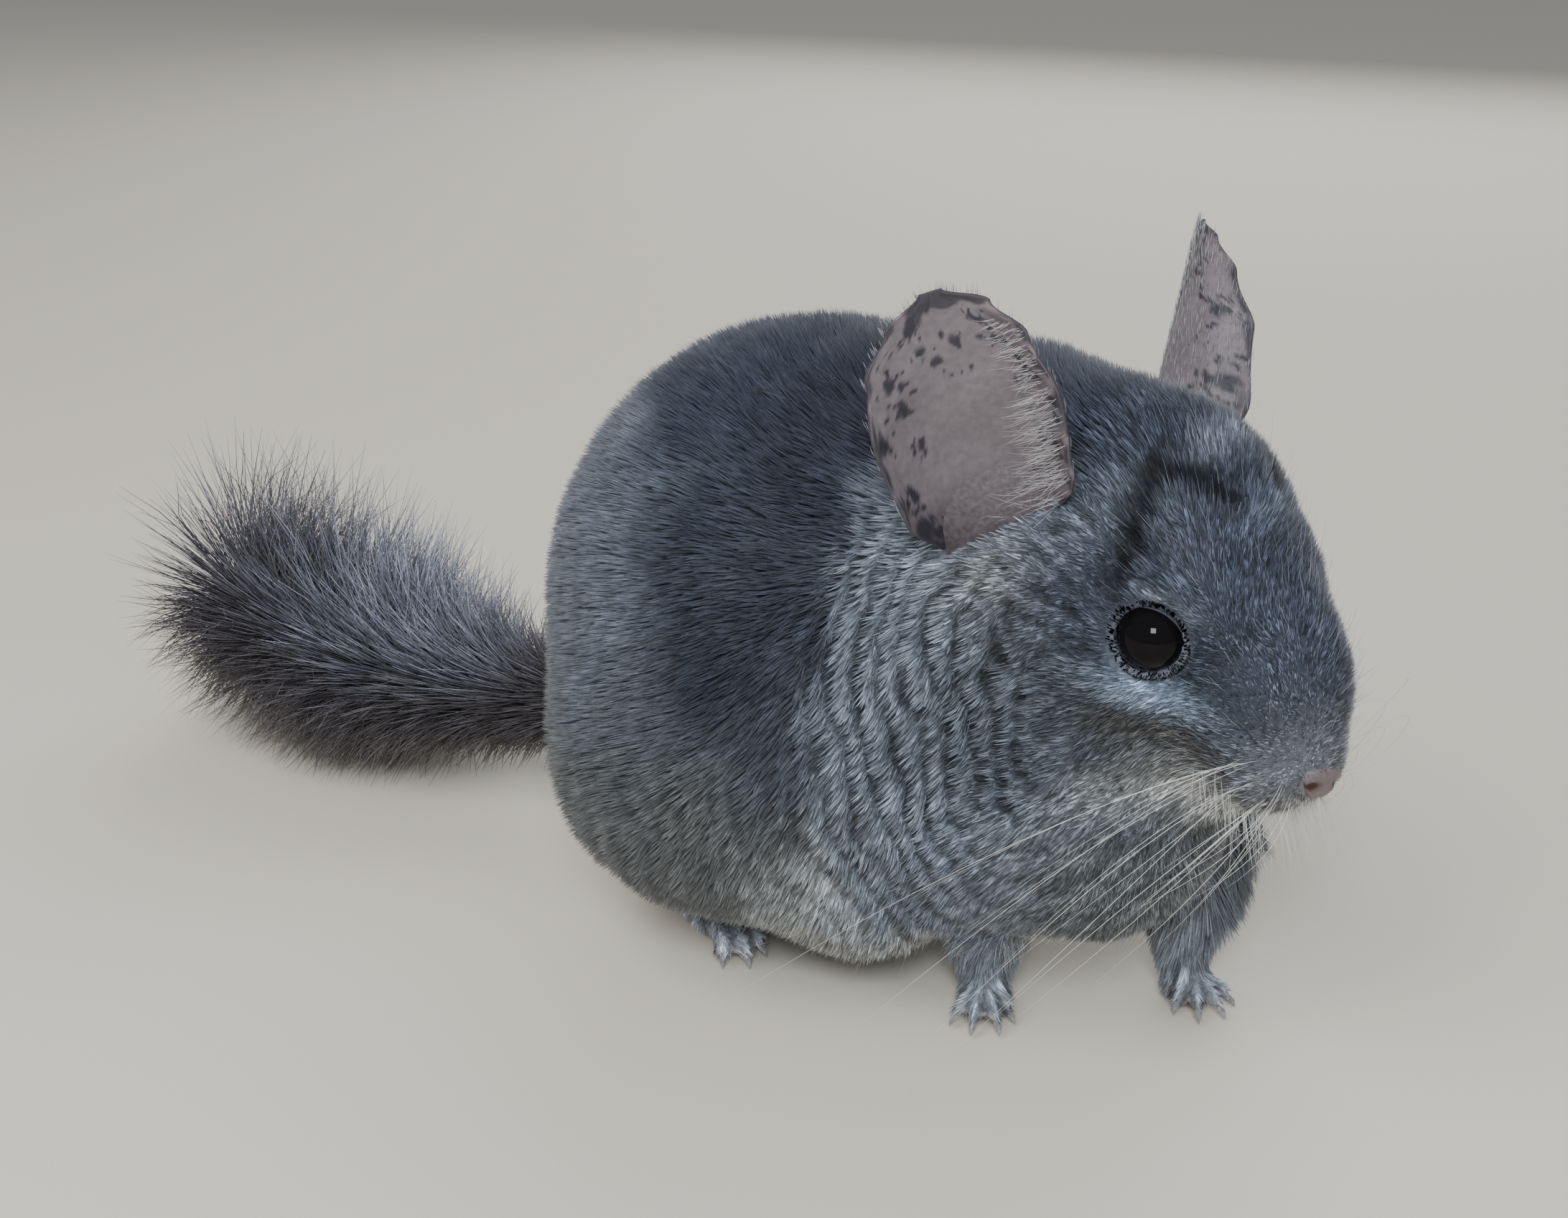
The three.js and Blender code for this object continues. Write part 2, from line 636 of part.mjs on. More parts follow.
const tailMid = wholeTail
  .intersect(tailCone(MID_FROM, MID_ANGLE, coneShift(MID_ANGLE)))
  .subtract(tailCone(TIP_FROM, TIP_ANGLE, 0));
const tailTip = wholeTail.intersect(tailCone(TIP_FROM, TIP_ANGLE, coneShift(TIP_ANGLE)));
addNode(chinchilla, "tail_base", largest(tailBase), tailGrey);
addNode(chinchilla, "tail_mid", largest(tailMid), tailGrey);
addNode(chinchilla, "tail_tip", largest(tailTip), tailGrey);

// The origin is the middle of the footprint, on the floor.
const box = new THREE.Box3().setFromObject(chinchilla, true);
chinchilla.position.set(-(box.min.x + box.max.x) / 2, -(box.min.y + box.max.y) / 2, 0);

export default chinchilla;
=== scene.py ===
# %% [markdown]
# # A chinchilla, standing still
# This notebook dresses a life-size model of a standard grey chinchilla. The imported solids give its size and
# pose. Here it gets a skin, a coat of fine tufts, thin ears, wet eyes, a nose, whiskers and a bushy tail.
# Lengths in the cells are millimetres, and become metres only when a mesh is made.

import math

import bpy
import numpy as np
from mathutils import Matrix, Vector
from mathutils.bvhtree import BVHTree


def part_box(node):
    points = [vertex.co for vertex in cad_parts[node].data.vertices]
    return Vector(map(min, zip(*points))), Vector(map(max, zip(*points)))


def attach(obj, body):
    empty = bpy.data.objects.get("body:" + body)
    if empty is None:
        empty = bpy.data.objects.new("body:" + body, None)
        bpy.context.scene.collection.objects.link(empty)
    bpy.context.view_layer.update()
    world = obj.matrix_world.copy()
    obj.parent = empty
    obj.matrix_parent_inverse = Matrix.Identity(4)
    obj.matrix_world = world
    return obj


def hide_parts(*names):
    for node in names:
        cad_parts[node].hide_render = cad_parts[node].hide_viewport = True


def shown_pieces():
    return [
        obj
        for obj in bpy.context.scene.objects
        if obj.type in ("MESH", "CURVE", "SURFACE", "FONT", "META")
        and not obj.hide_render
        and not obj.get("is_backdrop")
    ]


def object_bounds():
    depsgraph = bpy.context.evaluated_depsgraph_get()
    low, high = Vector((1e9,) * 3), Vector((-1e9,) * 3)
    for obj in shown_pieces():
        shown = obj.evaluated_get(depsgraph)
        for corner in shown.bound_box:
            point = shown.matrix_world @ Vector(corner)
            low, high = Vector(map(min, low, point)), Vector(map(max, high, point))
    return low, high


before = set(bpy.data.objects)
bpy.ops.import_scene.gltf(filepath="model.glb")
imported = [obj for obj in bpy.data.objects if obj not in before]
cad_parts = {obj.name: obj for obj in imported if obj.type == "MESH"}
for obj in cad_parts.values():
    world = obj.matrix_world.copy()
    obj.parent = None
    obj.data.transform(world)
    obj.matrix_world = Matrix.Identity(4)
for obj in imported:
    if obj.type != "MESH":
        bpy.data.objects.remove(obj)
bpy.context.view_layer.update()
MM = 0.001

# %% [markdown]
# ## Two frames to think in
# A face is easiest to describe along its own muzzle, and a body along its own back. The head's frame has its
# origin midway between the eyes and +X along the muzzle. Its place follows from the right eye's solid, so
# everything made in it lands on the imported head.

# %% Head frame and body frame
HEAD_PLACE = np.array([27.5, 8.2, 95.2])
HEAD_TURN_DEG = -3
HEAD_NOD_DEG = 25.5
EYE_RADIUS = 6.2
EYE_SIDE = 18.41


def turned(axis, degrees):
    return np.array(Matrix.Rotation(math.radians(degrees), 3, axis))


HEAD_AXES = turned("Z", HEAD_TURN_DEG) @ turned("Y", HEAD_NOD_DEG)
eye_low, eye_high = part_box("eye_right")
eye_right = np.array(eye_low + eye_high) / 2 / MM
SHIFT = eye_right - (HEAD_AXES @ np.array([0, -EYE_SIDE, 0]) + HEAD_PLACE)


def from_head(points):
    return np.asarray(points, float) @ HEAD_AXES.T + HEAD_PLACE + SHIFT


def to_head(points):
    return (np.asarray(points, float) - HEAD_PLACE - SHIFT) @ HEAD_AXES


def from_body(points):
    return np.asarray(points, float) + SHIFT


def on_one_side(head_points):
    """Points of the head's frame brought to one side of its middle, so that one list serves both."""
    return np.stack([head_points[:, 0], np.abs(head_points[:, 1]), head_points[:, 2]], 1)


print("right eye at", eye_right.round(1), "body frame shifted by", SHIFT.round(2))

# %% [markdown]
# ## The camera
# The animal was seen from its right front and a little above, from about a third of a metre. The camera is
# set from the right eye, whose place in the picture is known, so the rest of the head falls where it should.

# %% Camera
VIEW_AZIMUTH = math.radians(40)
VIEW_ELEVATION = math.radians(23)
FOCAL_PIXELS = 2800
PICTURE_WIDTH, PICTURE_HEIGHT = 2184, 1697
EYE_PIXEL = (1605, 885)
EYE_DISTANCE = 350
SENSOR = 36


def put(obj):
    """Adds a new object to the scene."""
    bpy.context.scene.collection.objects.link(obj)
    return obj


sin_a, cos_a = math.sin(VIEW_AZIMUTH), math.cos(VIEW_AZIMUTH)
sin_e, cos_e = math.sin(VIEW_ELEVATION), math.cos(VIEW_ELEVATION)
camera_right = np.array([cos_a, sin_a, 0])
camera_up = np.array([-sin_a * sin_e, cos_a * sin_e, cos_e])
camera_back = np.array([sin_a * cos_e, -cos_a * cos_e, sin_e])
eye_ray = (
    camera_right * (EYE_PIXEL[0] - PICTURE_WIDTH / 2) / FOCAL_PIXELS
    + camera_up * (PICTURE_HEIGHT / 2 - EYE_PIXEL[1]) / FOCAL_PIXELS
    - camera_back
)
camera_data = bpy.data.cameras.new("camera")
camera_data.sensor_width = SENSOR
camera_data.lens = FOCAL_PIXELS / PICTURE_WIDTH * SENSOR
camera_data.clip_start = 0.01
camera = put(bpy.data.objects.new("camera", camera_data))
camera.location = (eye_right - eye_ray * EYE_DISTANCE) * MM
camera.rotation_euler = Matrix((camera_right, camera_up, camera_back)).transposed().to_euler()
bpy.context.scene.camera = camera
print("camera", [round(c, 3) for c in camera.location], "lens", round(camera_data.lens, 1))

# %% [markdown]
# ## Small helpers
# Thousands of hairs are too many for modelling by hand, so they are computed as arrays and turned into a mesh
# at once. Steady noise is a sum of a few sine waves in random directions: it is smooth, quick and the same
# every time.

# %% Helpers for arrays
draw = np.random.default_rng(71)


def unit(vectors):
    return vectors / np.maximum(np.linalg.norm(vectors, axis=-1, keepdims=True), 1e-9)


def ramp(values, low, high):
    share = np.clip((np.asarray(values, float) - low) / (high - low), 0, 1)
    return share * share * (3 - 2 * share)


def waves(points, size, seed, count=7):
    """Smooth noise from about -1 to 1 whose bumps are about size across."""
    rng = np.random.default_rng(seed)
    directions = unit(rng.normal(size=(count, 3))) * rng.uniform(0.6, 1.5, (count, 1)) * 2 * math.pi / size
    phases = rng.uniform(0, 2 * math.pi, count)
    return np.sin(points @ directions.T + phases).sum(1) / math.sqrt(count) * 0.9


def linear(*rgb):
    """A colour as a screen shows it, 0 to 255, turned into the light it stands for."""
    share = np.asarray(rgb, float) / 255
    return np.where(share <= 0.04045, share / 12.92, ((share + 0.055) / 1.055) ** 2.4)


def painted(colour, count):
    """The same colour for a number of points."""
    return np.repeat(colour[None], count, 0)


def blend_to(base, colour, share):
    return base + (colour - base) * share[:, None]


def set_tint(mesh, colours):
    layer = mesh.color_attributes.new("tint", "FLOAT_COLOR", "POINT")
    full = np.ones((len(colours), 4), np.float32)
    full[:, :3] = colours
    layer.data.foreach_set("color", full.ravel())


def mesh_object(name, points, triangles, material, colours, uvs=None, normals=None):
    """A new smooth mesh object from points in mm, triangles and colours, with an optional map and normals."""
    mesh = bpy.data.meshes.new(name)
    points = np.asarray(points, np.float32) * MM
    triangles = np.asarray(triangles, np.int32)
    mesh.vertices.add(len(points))
    mesh.vertices.foreach_set("co", points.ravel())
    mesh.loops.add(triangles.size)
    mesh.loops.foreach_set("vertex_index", triangles.ravel())
    mesh.polygons.add(len(triangles))
    mesh.polygons.foreach_set("loop_start", np.arange(0, triangles.size, 3, dtype=np.int32))
    mesh.update(calc_edges=True)
    mesh.shade_smooth()
    set_tint(mesh, colours)
    if uvs is not None:
        layer = mesh.uv_layers.new(name="OFBake")
        layer.uv.foreach_set("vector", np.asarray(uvs, np.float32)[triangles.ravel()].ravel())
    if normals is not None:
        mesh.normals_split_custom_set_from_vertices(unit(normals).astype(np.float32))
    mesh.materials.append(material)
    piece = put(bpy.data.objects.new(name, mesh))
    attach(piece, "root")
    print(name, "has", len(triangles), "triangles")
    return piece


def select_only(obj):
    bpy.ops.object.select_all(action="DESELECT")
    obj.select_set(True)
    bpy.context.view_layer.objects.active = obj


def quads(a, b, c, d):
    """Two triangles for each four corners, given as four arrays of point numbers."""
    corners = np.stack([a.ravel(), b.ravel(), c.ravel(), d.ravel()], 1)
    return np.concatenate([corners[:, [0, 1, 2]], corners[:, [0, 2, 3]]])


def sheet_faces(rows, columns):
    """Triangles of a thin closed sheet with a grid of points on top, the same grid below, and a rim."""
    at = np.arange(rows * columns).reshape(rows, columns)
    back = at + at.size
    return np.concatenate([
        quads(at[:-1, :-1], at[:-1, 1:], at[1:, 1:], at[1:, :-1]),
        quads(back[:-1, :-1], back[1:, :-1], back[1:, 1:], back[:-1, 1:]),
        quads(back[:-1, 0], at[:-1, 0], at[1:, 0], back[1:, 0]),
        quads(at[:-1, -1], back[:-1, -1], back[1:, -1], at[1:, -1]),
        quads(back[0, :-1], back[0, 1:], at[0, 1:], at[0, :-1]),
        quads(at[-1, :-1], at[-1, 1:], back[-1, 1:], back[-1, :-1]),
    ])

# %% [markdown]
# ## Finishes
# Fur, skin and horn differ in gloss more than in pattern. Each piece carries its colours at its corners, in a
# layer named tint. A shared node group adds the fine grain that those are too coarse for. Ears and nose let a
# little light through, because thin bare skin does.

# %% Grain group
def new_group(name, inputs, outputs):
    group = bpy.data.node_groups.new(name, "ShaderNodeTree")
    for label, kind, value in inputs:
        socket = group.interface.new_socket(label, in_out="INPUT", socket_type=kind)
        socket.default_value = value
    for label, kind in outputs:
        group.interface.new_socket(label, in_out="OUTPUT", socket_type=kind)
    return group, group.nodes.new("NodeGroupInput"), group.nodes.new("NodeGroupOutput")


def build_grain():
    """Takes a colour and gives it back with fine lighter and darker grain, and a height for a bump."""
    group, start, end = new_group(
        "fine_grain",
        [
            ("Colour", "NodeSocketColor", (0.5, 0.5, 0.5, 1)),
            ("Scale", "NodeSocketFloat", 900.0),
            ("Depth", "NodeSocketFloat", 0.25),
        ],
        [("Colour", "NodeSocketColor"), ("Height", "NodeSocketFloat")],
    )
    place = group.nodes.new("ShaderNodeTexCoord")
    noise = group.nodes.new("ShaderNodeTexNoise")
    noise.inputs["Detail"].default_value = 3
    spread = group.nodes.new("ShaderNodeMapRange")
    spread.inputs["From Min"].default_value = 0.3
    spread.inputs["From Max"].default_value = 0.7
    less = group.nodes.new("ShaderNodeMath")
    less.operation = "SUBTRACT"
    less.inputs[0].default_value = 1
    more = group.nodes.new("ShaderNodeMath")
    more.operation = "ADD"
    more.inputs[0].default_value = 1
    shade = group.nodes.new("ShaderNodeVectorMath")
    shade.operation = "SCALE"
    link = group.links.new
    link(place.outputs["Object"], noise.inputs["Vector"])
    link(start.outputs["Scale"], noise.inputs["Scale"])
    link(noise.outputs["Fac"], spread.inputs["Value"])
    link(start.outputs["Depth"], less.inputs[1])
    link(start.outputs["Depth"], more.inputs[1])
    link(less.outputs[0], spread.inputs["To Min"])
    link(more.outputs[0], spread.inputs["To Max"])
    link(start.outputs["Colour"], shade.inputs[0])
    link(spread.outputs[0], shade.inputs["Scale"])
    link(shade.outputs[0], end.inputs["Colour"])
    link(noise.outputs["Fac"], end.inputs["Height"])
    return group


grain_group = build_grain()


# %% Fur and skin materials
def set_inputs(node, **values):
    """Sets a node's inputs. An underscore stands for a space in an input's name."""
    for label, value in values.items():
        node.inputs[label.replace("_", " ")].default_value = value


def new_material(name):
    material = bpy.data.materials.new(name)
    material.use_nodes = True
    shader = material.node_tree.nodes["Principled BSDF"]
    return material, material.node_tree, shader


RED_GOES_DEEPEST = (0.9, 0.4, 0.25)
BLOOD_DEPTH = 1.2
BUMP_HEIGHT = 0.3


def tinted(name, roughness, grain_scale, grain_depth, sheen=0.0, bump=0.0, subsurface=0.0):
    """A finish that takes its colour from the piece's own tint, with grain over it."""
    material, tree, shader = new_material(name)
    tint = tree.nodes.new("ShaderNodeAttribute")
    tint.attribute_name = "tint"
    grain = tree.nodes.new("ShaderNodeGroup")
    grain.node_tree = grain_group
    set_inputs(grain, Scale=grain_scale, Depth=grain_depth)
    tree.links.new(tint.outputs["Color"], grain.inputs["Colour"])
    tree.links.new(grain.outputs["Colour"], shader.inputs["Base Color"])
    set_inputs(shader, Roughness=roughness, Sheen_Weight=sheen, Sheen_Roughness=0.45, Specular_IOR_Level=0.3)
    if subsurface:
        set_inputs(
            shader,
            Subsurface_Weight=subsurface,
            Subsurface_Radius=RED_GOES_DEEPEST,
            Subsurface_Scale=BLOOD_DEPTH * MM,
        )
    if bump:
        height = tree.nodes.new("ShaderNodeBump")
        set_inputs(height, Strength=bump, Distance=BUMP_HEIGHT * MM)
        tree.links.new(grain.outputs["Height"], height.inputs["Height"])
        tree.links.new(height.outputs["Normal"], shader.inputs["Normal"])
    return material


coat_finish = tinted("coat_hair", 0.62, 1400, 0.22, sheen=0.12)
skin_finish = tinted("skin_under_coat", 0.8, 1100, 0.3, bump=0.6)
ear_finish = tinted("ear_skin", 0.5, 700, 0.12, bump=0.35, subsurface=0.35)
bare_finish = tinted("bare_skin", 0.42, 1500, 0.12, bump=0.5, subsurface=0.25)
whisker_finish = tinted("whisker_hair", 0.35, 300, 0.05)
claw_finish = tinted("claw_horn", 0.3, 900, 0.25, bump=0.2)

# %% [markdown]
# ## The skin
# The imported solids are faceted, and part at the neck and the legs. A skin could be sculpted, but it would
# drift from their sizes. So copies of them are joined, grown a little until they overlap, and melted into one
# surface by a voxel remesh, as clay would be.

# %% Join and melt the solids
FLESH = ["torso", "neck", "head", "foreleg_right", "foreleg_left", "hindleg_right", "hindleg_left"]
GROWN = 0.6
VOXEL = 0.8
copies = [put(bpy.data.objects.new("flesh_" + name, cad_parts[name].data.copy())) for name in FLESH]
select_only(copies[0])
for copy in copies:
    copy.select_set(True)
bpy.ops.object.join()
skin = bpy.context.view_layer.objects.active
skin.name = "skin"
bpy.ops.object.mode_set(mode="EDIT")
bpy.ops.mesh.select_all(action="SELECT")
bpy.ops.mesh.remove_doubles(threshold=0.000002)
bpy.ops.object.mode_set(mode="OBJECT")


def apply_modifier(obj, kind, **settings):
    modifier = obj.modifiers.new(kind.lower(), kind)
    for key, value in settings.items():
        setattr(modifier, key, value)
    select_only(obj)
    bpy.ops.object.modifier_apply(modifier=modifier.name)


apply_modifier(skin, "DISPLACE", strength=GROWN * MM, mid_level=0)
apply_modifier(skin, "REMESH", mode="VOXEL", voxel_size=VOXEL * MM)
apply_modifier(skin, "SMOOTH", factor=0.5, iterations=6)
print("melted skin has", len(skin.data.polygons), "faces")

# %% [markdown]
# ## Which part of the animal a point is on
# Legs and trunk have different fur, so each point of the skin needs to know how much it belongs to a leg. Its
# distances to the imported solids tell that, with no painting by hand.

# %% Sort the skin into regions
def points_of(mesh):
    flat = np.zeros(len(mesh.vertices) * 3, np.float32)
    mesh.vertices.foreach_get("co", flat)
    return flat.reshape(-1, 3).astype(float) / MM


def normals_of(mesh):
    flat = np.zeros(len(mesh.vertices) * 3, np.float32)
    mesh.vertex_normals.foreach_get("vector", flat)
    return flat.reshape(-1, 3).astype(float)


def tree_of(names):
    corners, faces = [], []
    for name in names:
        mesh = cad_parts[name].data
        first = len(corners)
        corners.extend(tuple(v.co) for v in mesh.vertices)
        faces.extend([first + i for i in polygon.vertices] for polygon in mesh.polygons)
    return BVHTree.FromPolygons(corners, faces)


LEGS = [name for name in FLESH if "leg" in name]
leg_tree = tree_of(LEGS)
trunk_tree = tree_of(["torso", "neck", "head"])


def distances(tree, points):
    return np.array([tree.find_nearest(Vector(p))[3] for p in points * MM]) / MM


def leg_share(points):
    """1 on a leg, 0 on the trunk, with a soft step where one grows out of the other."""
    return ramp(distances(trunk_tree, points) - distances(leg_tree, points), -1.5, 3.0)


# %% [markdown]
# ## Folds and creases
# A chinchilla's fur is so dense that it breaks into soft bands where the animal bends: fine ones that run
# round the cheeks and down the neck, faint ones on the rump and low on the flanks, and a few deep creases on
# the brow, the forehead and the side of the neck. The bands are rings round each cheek whose distance wanders
# with steady noise, which is less work than drawing them one by one. They shape the skin, and in the coat's
# colour they give a painted highlight on the ridges and painted shade in the creases.

# %% Folds across the lie of the hair
NOSE_TIP = np.array([37, -1.2, -13])
CREASES = [
    ([(-17, 14, 26), (-14, 18, 20), (-10, 23, 12), (-9, 25, 7)], 2.2),
    ([(-17, 14, 26), (-9, 11, 26), (-3, 6, 25)], 1.9),
    ([(-12, 27, -1), (-20, 33, 0), (-28, 37, 1)], 0.9),
    ([(-15, 33, -9), (-23, 38, -8), (-30, 41, -5)], 0.8),
    ([(-8, 30, -8), (-14, 33, -14), (-18, 36, -20)], 0.8),
]
SKULL = np.array([-6.0, 0, -3])


def line_distance(points, line):
    """How far points are from a broken line, measured over the head and not through its depth."""
    line = np.array(line, float)
    outward = unit(points - SKULL)
    best = np.full(len(points), 1e9)
    for start, end in zip(line[:-1], line[1:]):
        along = end - start
        share = np.clip((points - start) @ along / (along @ along), 0, 1)[:, None]
        gap = points - start - along * share
        gap = gap - outward * (gap * outward).sum(1, keepdims=True) * 0.9
        best = np.minimum(best, np.linalg.norm(gap, axis=1))
    return best


def creases(points):
    """1 in the few deep creases of the brow, the forehead and the side of the neck, 0 elsewhere."""
    head = to_head(points)
    head = head + np.stack([waves(points, 7, seed) for seed in (25, 26, 27)], 1) * 0.7
    head = on_one_side(head)
    found = [np.exp(-((line_distance(head, line) / width) ** 2)) for line, width in CREASES]
    return np.max(found, axis=0)


CHEEK = np.array([-3, 27, -17])
FOLD_SPACING = 4.8


def fold_bands(points):
    """1 on the broad ridges and -1 in the narrow creases that run round the cheeks and over the flanks."""
    head = to_head(points)
    body = points - SHIFT
    away = from_head(on_one_side(head)) - from_head(CHEEK)
    reach = np.linalg.norm(away * [1, 1, 0.62], axis=1)
    wander = waves(points, 34, 21) * 2.2 + waves(points, 13, 22) * 0.8
    turn = (reach + wander) * 2 * math.pi / FOLD_SPACING
    crease = (0.5 + 0.5 * np.cos(turn)) ** 1.6
    neck = ramp(reach, 5, 15) * (1 - 0.35 * ramp(reach, 44, 60)) * ramp(-head[:, 0], -4, 6)
    neck = neck * ramp(body[:, 0], -34, -20) * (1 - ramp(body[:, 2], 108, 122))
    neck = neck * (1 - 0.6 * ramp(away[:, 2] / np.maximum(reach, 1), 0.5, 1.2))
    rump = 0.35 * ramp(-body[:, 0], 46, 62) * (1 - ramp(body[:, 2], 96, 118))
    low = 0.4 * (1 - ramp(body[:, 2], 52, 72)) * ramp(body[:, 2], 24, 36)
    strength = np.maximum(np.maximum(neck, rump), low) * (1 - ramp(body[:, 0], 22, 34))
    strength = strength * (0.6 + 0.4 * ramp(waves(points * [1, 1, 0.45], 12, 23), -0.9, 0.5))
    crinkled = ramp(reach, 4, 9) * (1 - ramp(reach, 20, 30)) * ramp(-head[:, 0], -3, 4)
    crinkle = np.clip(waves(points, 4.2, 29), -1, 1) * 0.6 * crinkled
    return (1 - 2 * crease) * strength + crinkle - 1.3 * creases(points)


# %% [markdown]
# ## Toes
# Four thin toes on each forefoot and three thick ones on each hind foot fan out from the palm. The solids
# have plain paws, so a ridge is raised on the skin along the line from the palm to each packed claw.

# %% Toes
PALMS = {
    "fore_right": (-8.7, -5.6),
    "fore_left": (22.9, 25.1),
    "hind_right": (-73.9, -15.9),
    "hind_left": (-76.8, 26.4),
}
FORE_TOE_WIDTH = 1.15
HIND_TOE_WIDTH = 1.7


def toe_ridges(points):
    """1 along the top of each toe, 0 between toes, how near the toes a point is, and where the toe points."""
    ridge, near = np.zeros(len(points)), np.zeros(len(points))
    heading = np.zeros((len(points), 3))
    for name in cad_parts:
        if name.startswith("claw"):
            low_corner, high_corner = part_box(name)
            claw = np.array(low_corner + high_corner)[:2] / 2 / MM
            palm = np.array(PALMS[name[5:-2]]) + SHIFT[:2]
            along = claw - palm
            share = np.clip((points[:, :2] - palm) @ along / (along @ along), 0.2, 1)[:, None]
            gap = np.linalg.norm(points[:, :2] - palm - along * share, axis=1)
            width = FORE_TOE_WIDTH if "fore" in name else HIND_TOE_WIDTH
            toe = ramp(share[:, 0], 0.3, 0.55) * (1 - ramp(points[:, 2], 8, 12))
            ridge = np.maximum(ridge, np.exp(-((gap / width) ** 2)) * toe)
            close = toe * (1 - ramp(gap, width * 1.8, width * 3))
            heading = np.where((close > near)[:, None], [*unit(along), -0.25], heading)
            near = np.maximum(near, close)
    return ridge, near, heading


# %% [markdown]
# ## Room for the coat and the eyes
# The solids stand for the outside of the fur, so the skin is sunk by the coat's depth: shallow on the face
# and feet, deepest on the rump. Round each eye it is cut into a dish, and behind the eyeball it lies well
# inside the ball, so that the two surfaces never come close enough to flicker.

# %% Sink the skin by the coat's depth
FOLD_HEIGHT = 0.62
TOE_HEIGHT = 1.1
SKIN_TRIANGLES = 150000
BALL_SHOWS_TO = 5.9
DISH_REACH = 13


def gaze_of(side):
    """Where an eye looks, in the head's frame: side is -1 for the right eye and 1 for the left."""
    return unit(np.array([0.3, side * 0.93, 0.2]))


def coat_depth(points, legs):
    head = to_head(points)
    along = np.interp(head[:, 0], [-60, -35, -12, 8, 28, 36], [3.8, 2.7, 2.0, 1.4, 0.9, 0.6])
    return along * (1 - legs) + legs * np.interp(points[:, 2], [6, 14, 26], [0.5, 1.0, 2.2])


skin_points = points_of(skin.data)
skin_legs = leg_share(skin_points)
skin_depth = coat_depth(skin_points, skin_legs)
skin_normals = normals_of(skin.data)
sunk = skin_points - skin_normals * (skin_depth + GROWN)[:, None]
sunk += skin_normals * (fold_bands(skin_points) * FOLD_HEIGHT)[:, None]
toe_top, toe_near, _ = toe_ridges(skin_points)
sunk += skin_normals * ((toe_top - 0.55) * TOE_HEIGHT * toe_near)[:, None]
for side in (-1, 1):
    centre = from_head(np.array([[0, side * EYE_SIDE, 0]]))[0]
    gaze = HEAD_AXES @ gaze_of(side)
    offset = sunk - centre
    rise = offset @ gaze
    out = np.linalg.norm(offset - rise[:, None] * gaze, axis=1)
    dish = np.interp(out, [BALL_SHOWS_TO, 6.4, 8.5, DISH_REACH], [2.0, 2.4, 4.0, 10])
    inside_ball = np.sqrt(np.maximum(EYE_RADIUS**2 - out**2, 0)) - 1.3
    floor_of_dish = np.where(out < BALL_SHOWS_TO, inside_ball, dish)
    drop = np.maximum(rise - floor_of_dish, 0) * (rise > 0) * (out < DISH_REACH)
    sunk -= drop[:, None] * gaze
    print("deepest cut of the eye's dish in mm", drop.max().round(2))
sunk[:, 2] = np.maximum(sunk[:, 2], 0.05)
skin.data.vertices.foreach_set("co", (sunk * MM).astype(np.float32).ravel())
skin.data.update()
apply_modifier(skin, "SMOOTH", factor=0.5, iterations=2)
apply_modifier(skin, "TRIANGULATE")
apply_modifier(skin, "DECIMATE", ratio=min(1, SKIN_TRIANGLES / len(skin.data.polygons)))
print("skin has", len(skin.data.polygons), "triangles")

# %% [markdown]
# ## Where the coat leaves skin bare
# No hair grows in the ears' cups, under the lids, on the nose pad or on the soles. The ears' own curves are
# written down here already, because the coat has to stop inside them.

# %% Ear curves
EAR_LENGTH = 51
EAR_THICKNESS = 0.9
EAR_ROOT_AT = -0.16
EARS = {"ear_right": (-1, 25.5, 0.34), "ear_left": (1, 27.5, 0.42)}
CUP_DEPTH = 6


def profile(stations):
    """Smooth steps between stations, each a place and a value."""
    places, values = np.array(stations, float).T

    def at(place):
        index = np.clip(np.searchsorted(places, place, side="right"), 1, len(places) - 1)
        share = ramp(place, places[index - 1], places[index])
        return values[index - 1] + (values[index] - values[index - 1]) * share

    return at


ear_arc = profile([(-0.2, 7), (0.05, 12), (0.34, 21.5), (0.6, 20), (0.8, 15.5), (0.92, 9.5), (1, 2)])
ear_curl = profile([(-0.2, 6), (0.05, 10), (0.34, 15.6), (0.6, 20), (1, 34)])


def ear_axes(side, lean):
    along = unit(np.array([-0.455, side * lean, 0.82]))
    opening = np.array([0.77, side * 0.61, 0.18])
    opening = unit(opening - along * (opening @ along))
    return along, opening, np.cross(along, opening)


def ear_root(side, root_side):
    return np.array([-29, side * root_side, -3])


def inside_ear(points):
    """1 in the hollow of either ear and 0 elsewhere, and how far up the ear that is."""
    head = to_head(points)
    found = np.zeros(len(points))
    up = np.zeros(len(points))
    for side, root_side, lean in EARS.values():
        along, opening, across = ear_axes(side, lean)
        place = head - ear_root(side, root_side)
        height = place @ along / EAR_LENGTH
        radius = ear_curl(height)
        sideways, forward = place @ across, place @ opening - (radius - CUP_DEPTH)
        chord = -np.cos(np.minimum(ear_arc(height) / radius, 2.2)) * radius + 1.5
        hollow = (np.hypot(sideways, forward) < radius + 0.3) & (forward < chord)
        hollow = hollow & (height > -0.12) & (height < 0.6)
        found = np.maximum(found, hollow)
        up = np.where(hollow, height, up)
    return found, up


EAR_PINK = linear(104, 97, 101)
EAR_ROOT_SHADE = linear(56, 48, 52)


def ear_base_colour(height):
    # Darker towards the ear's root, where its cup is deep: painted shade.
    return blend_to(painted(EAR_PINK, len(height)), EAR_ROOT_SHADE, ramp(-height, -0.36, -0.02))


# %% Bare places
eyes_in_head = np.array([[0, -EYE_SIDE, 0], [0, EYE_SIDE, 0]])
NOSE_SIDE = -2.6
NOSE_HEIGHT = -11.4


def eye_distance(points):
    head = to_head(points)
    return np.min([np.linalg.norm(head - eye, axis=1) for eye in eyes_in_head], axis=0)


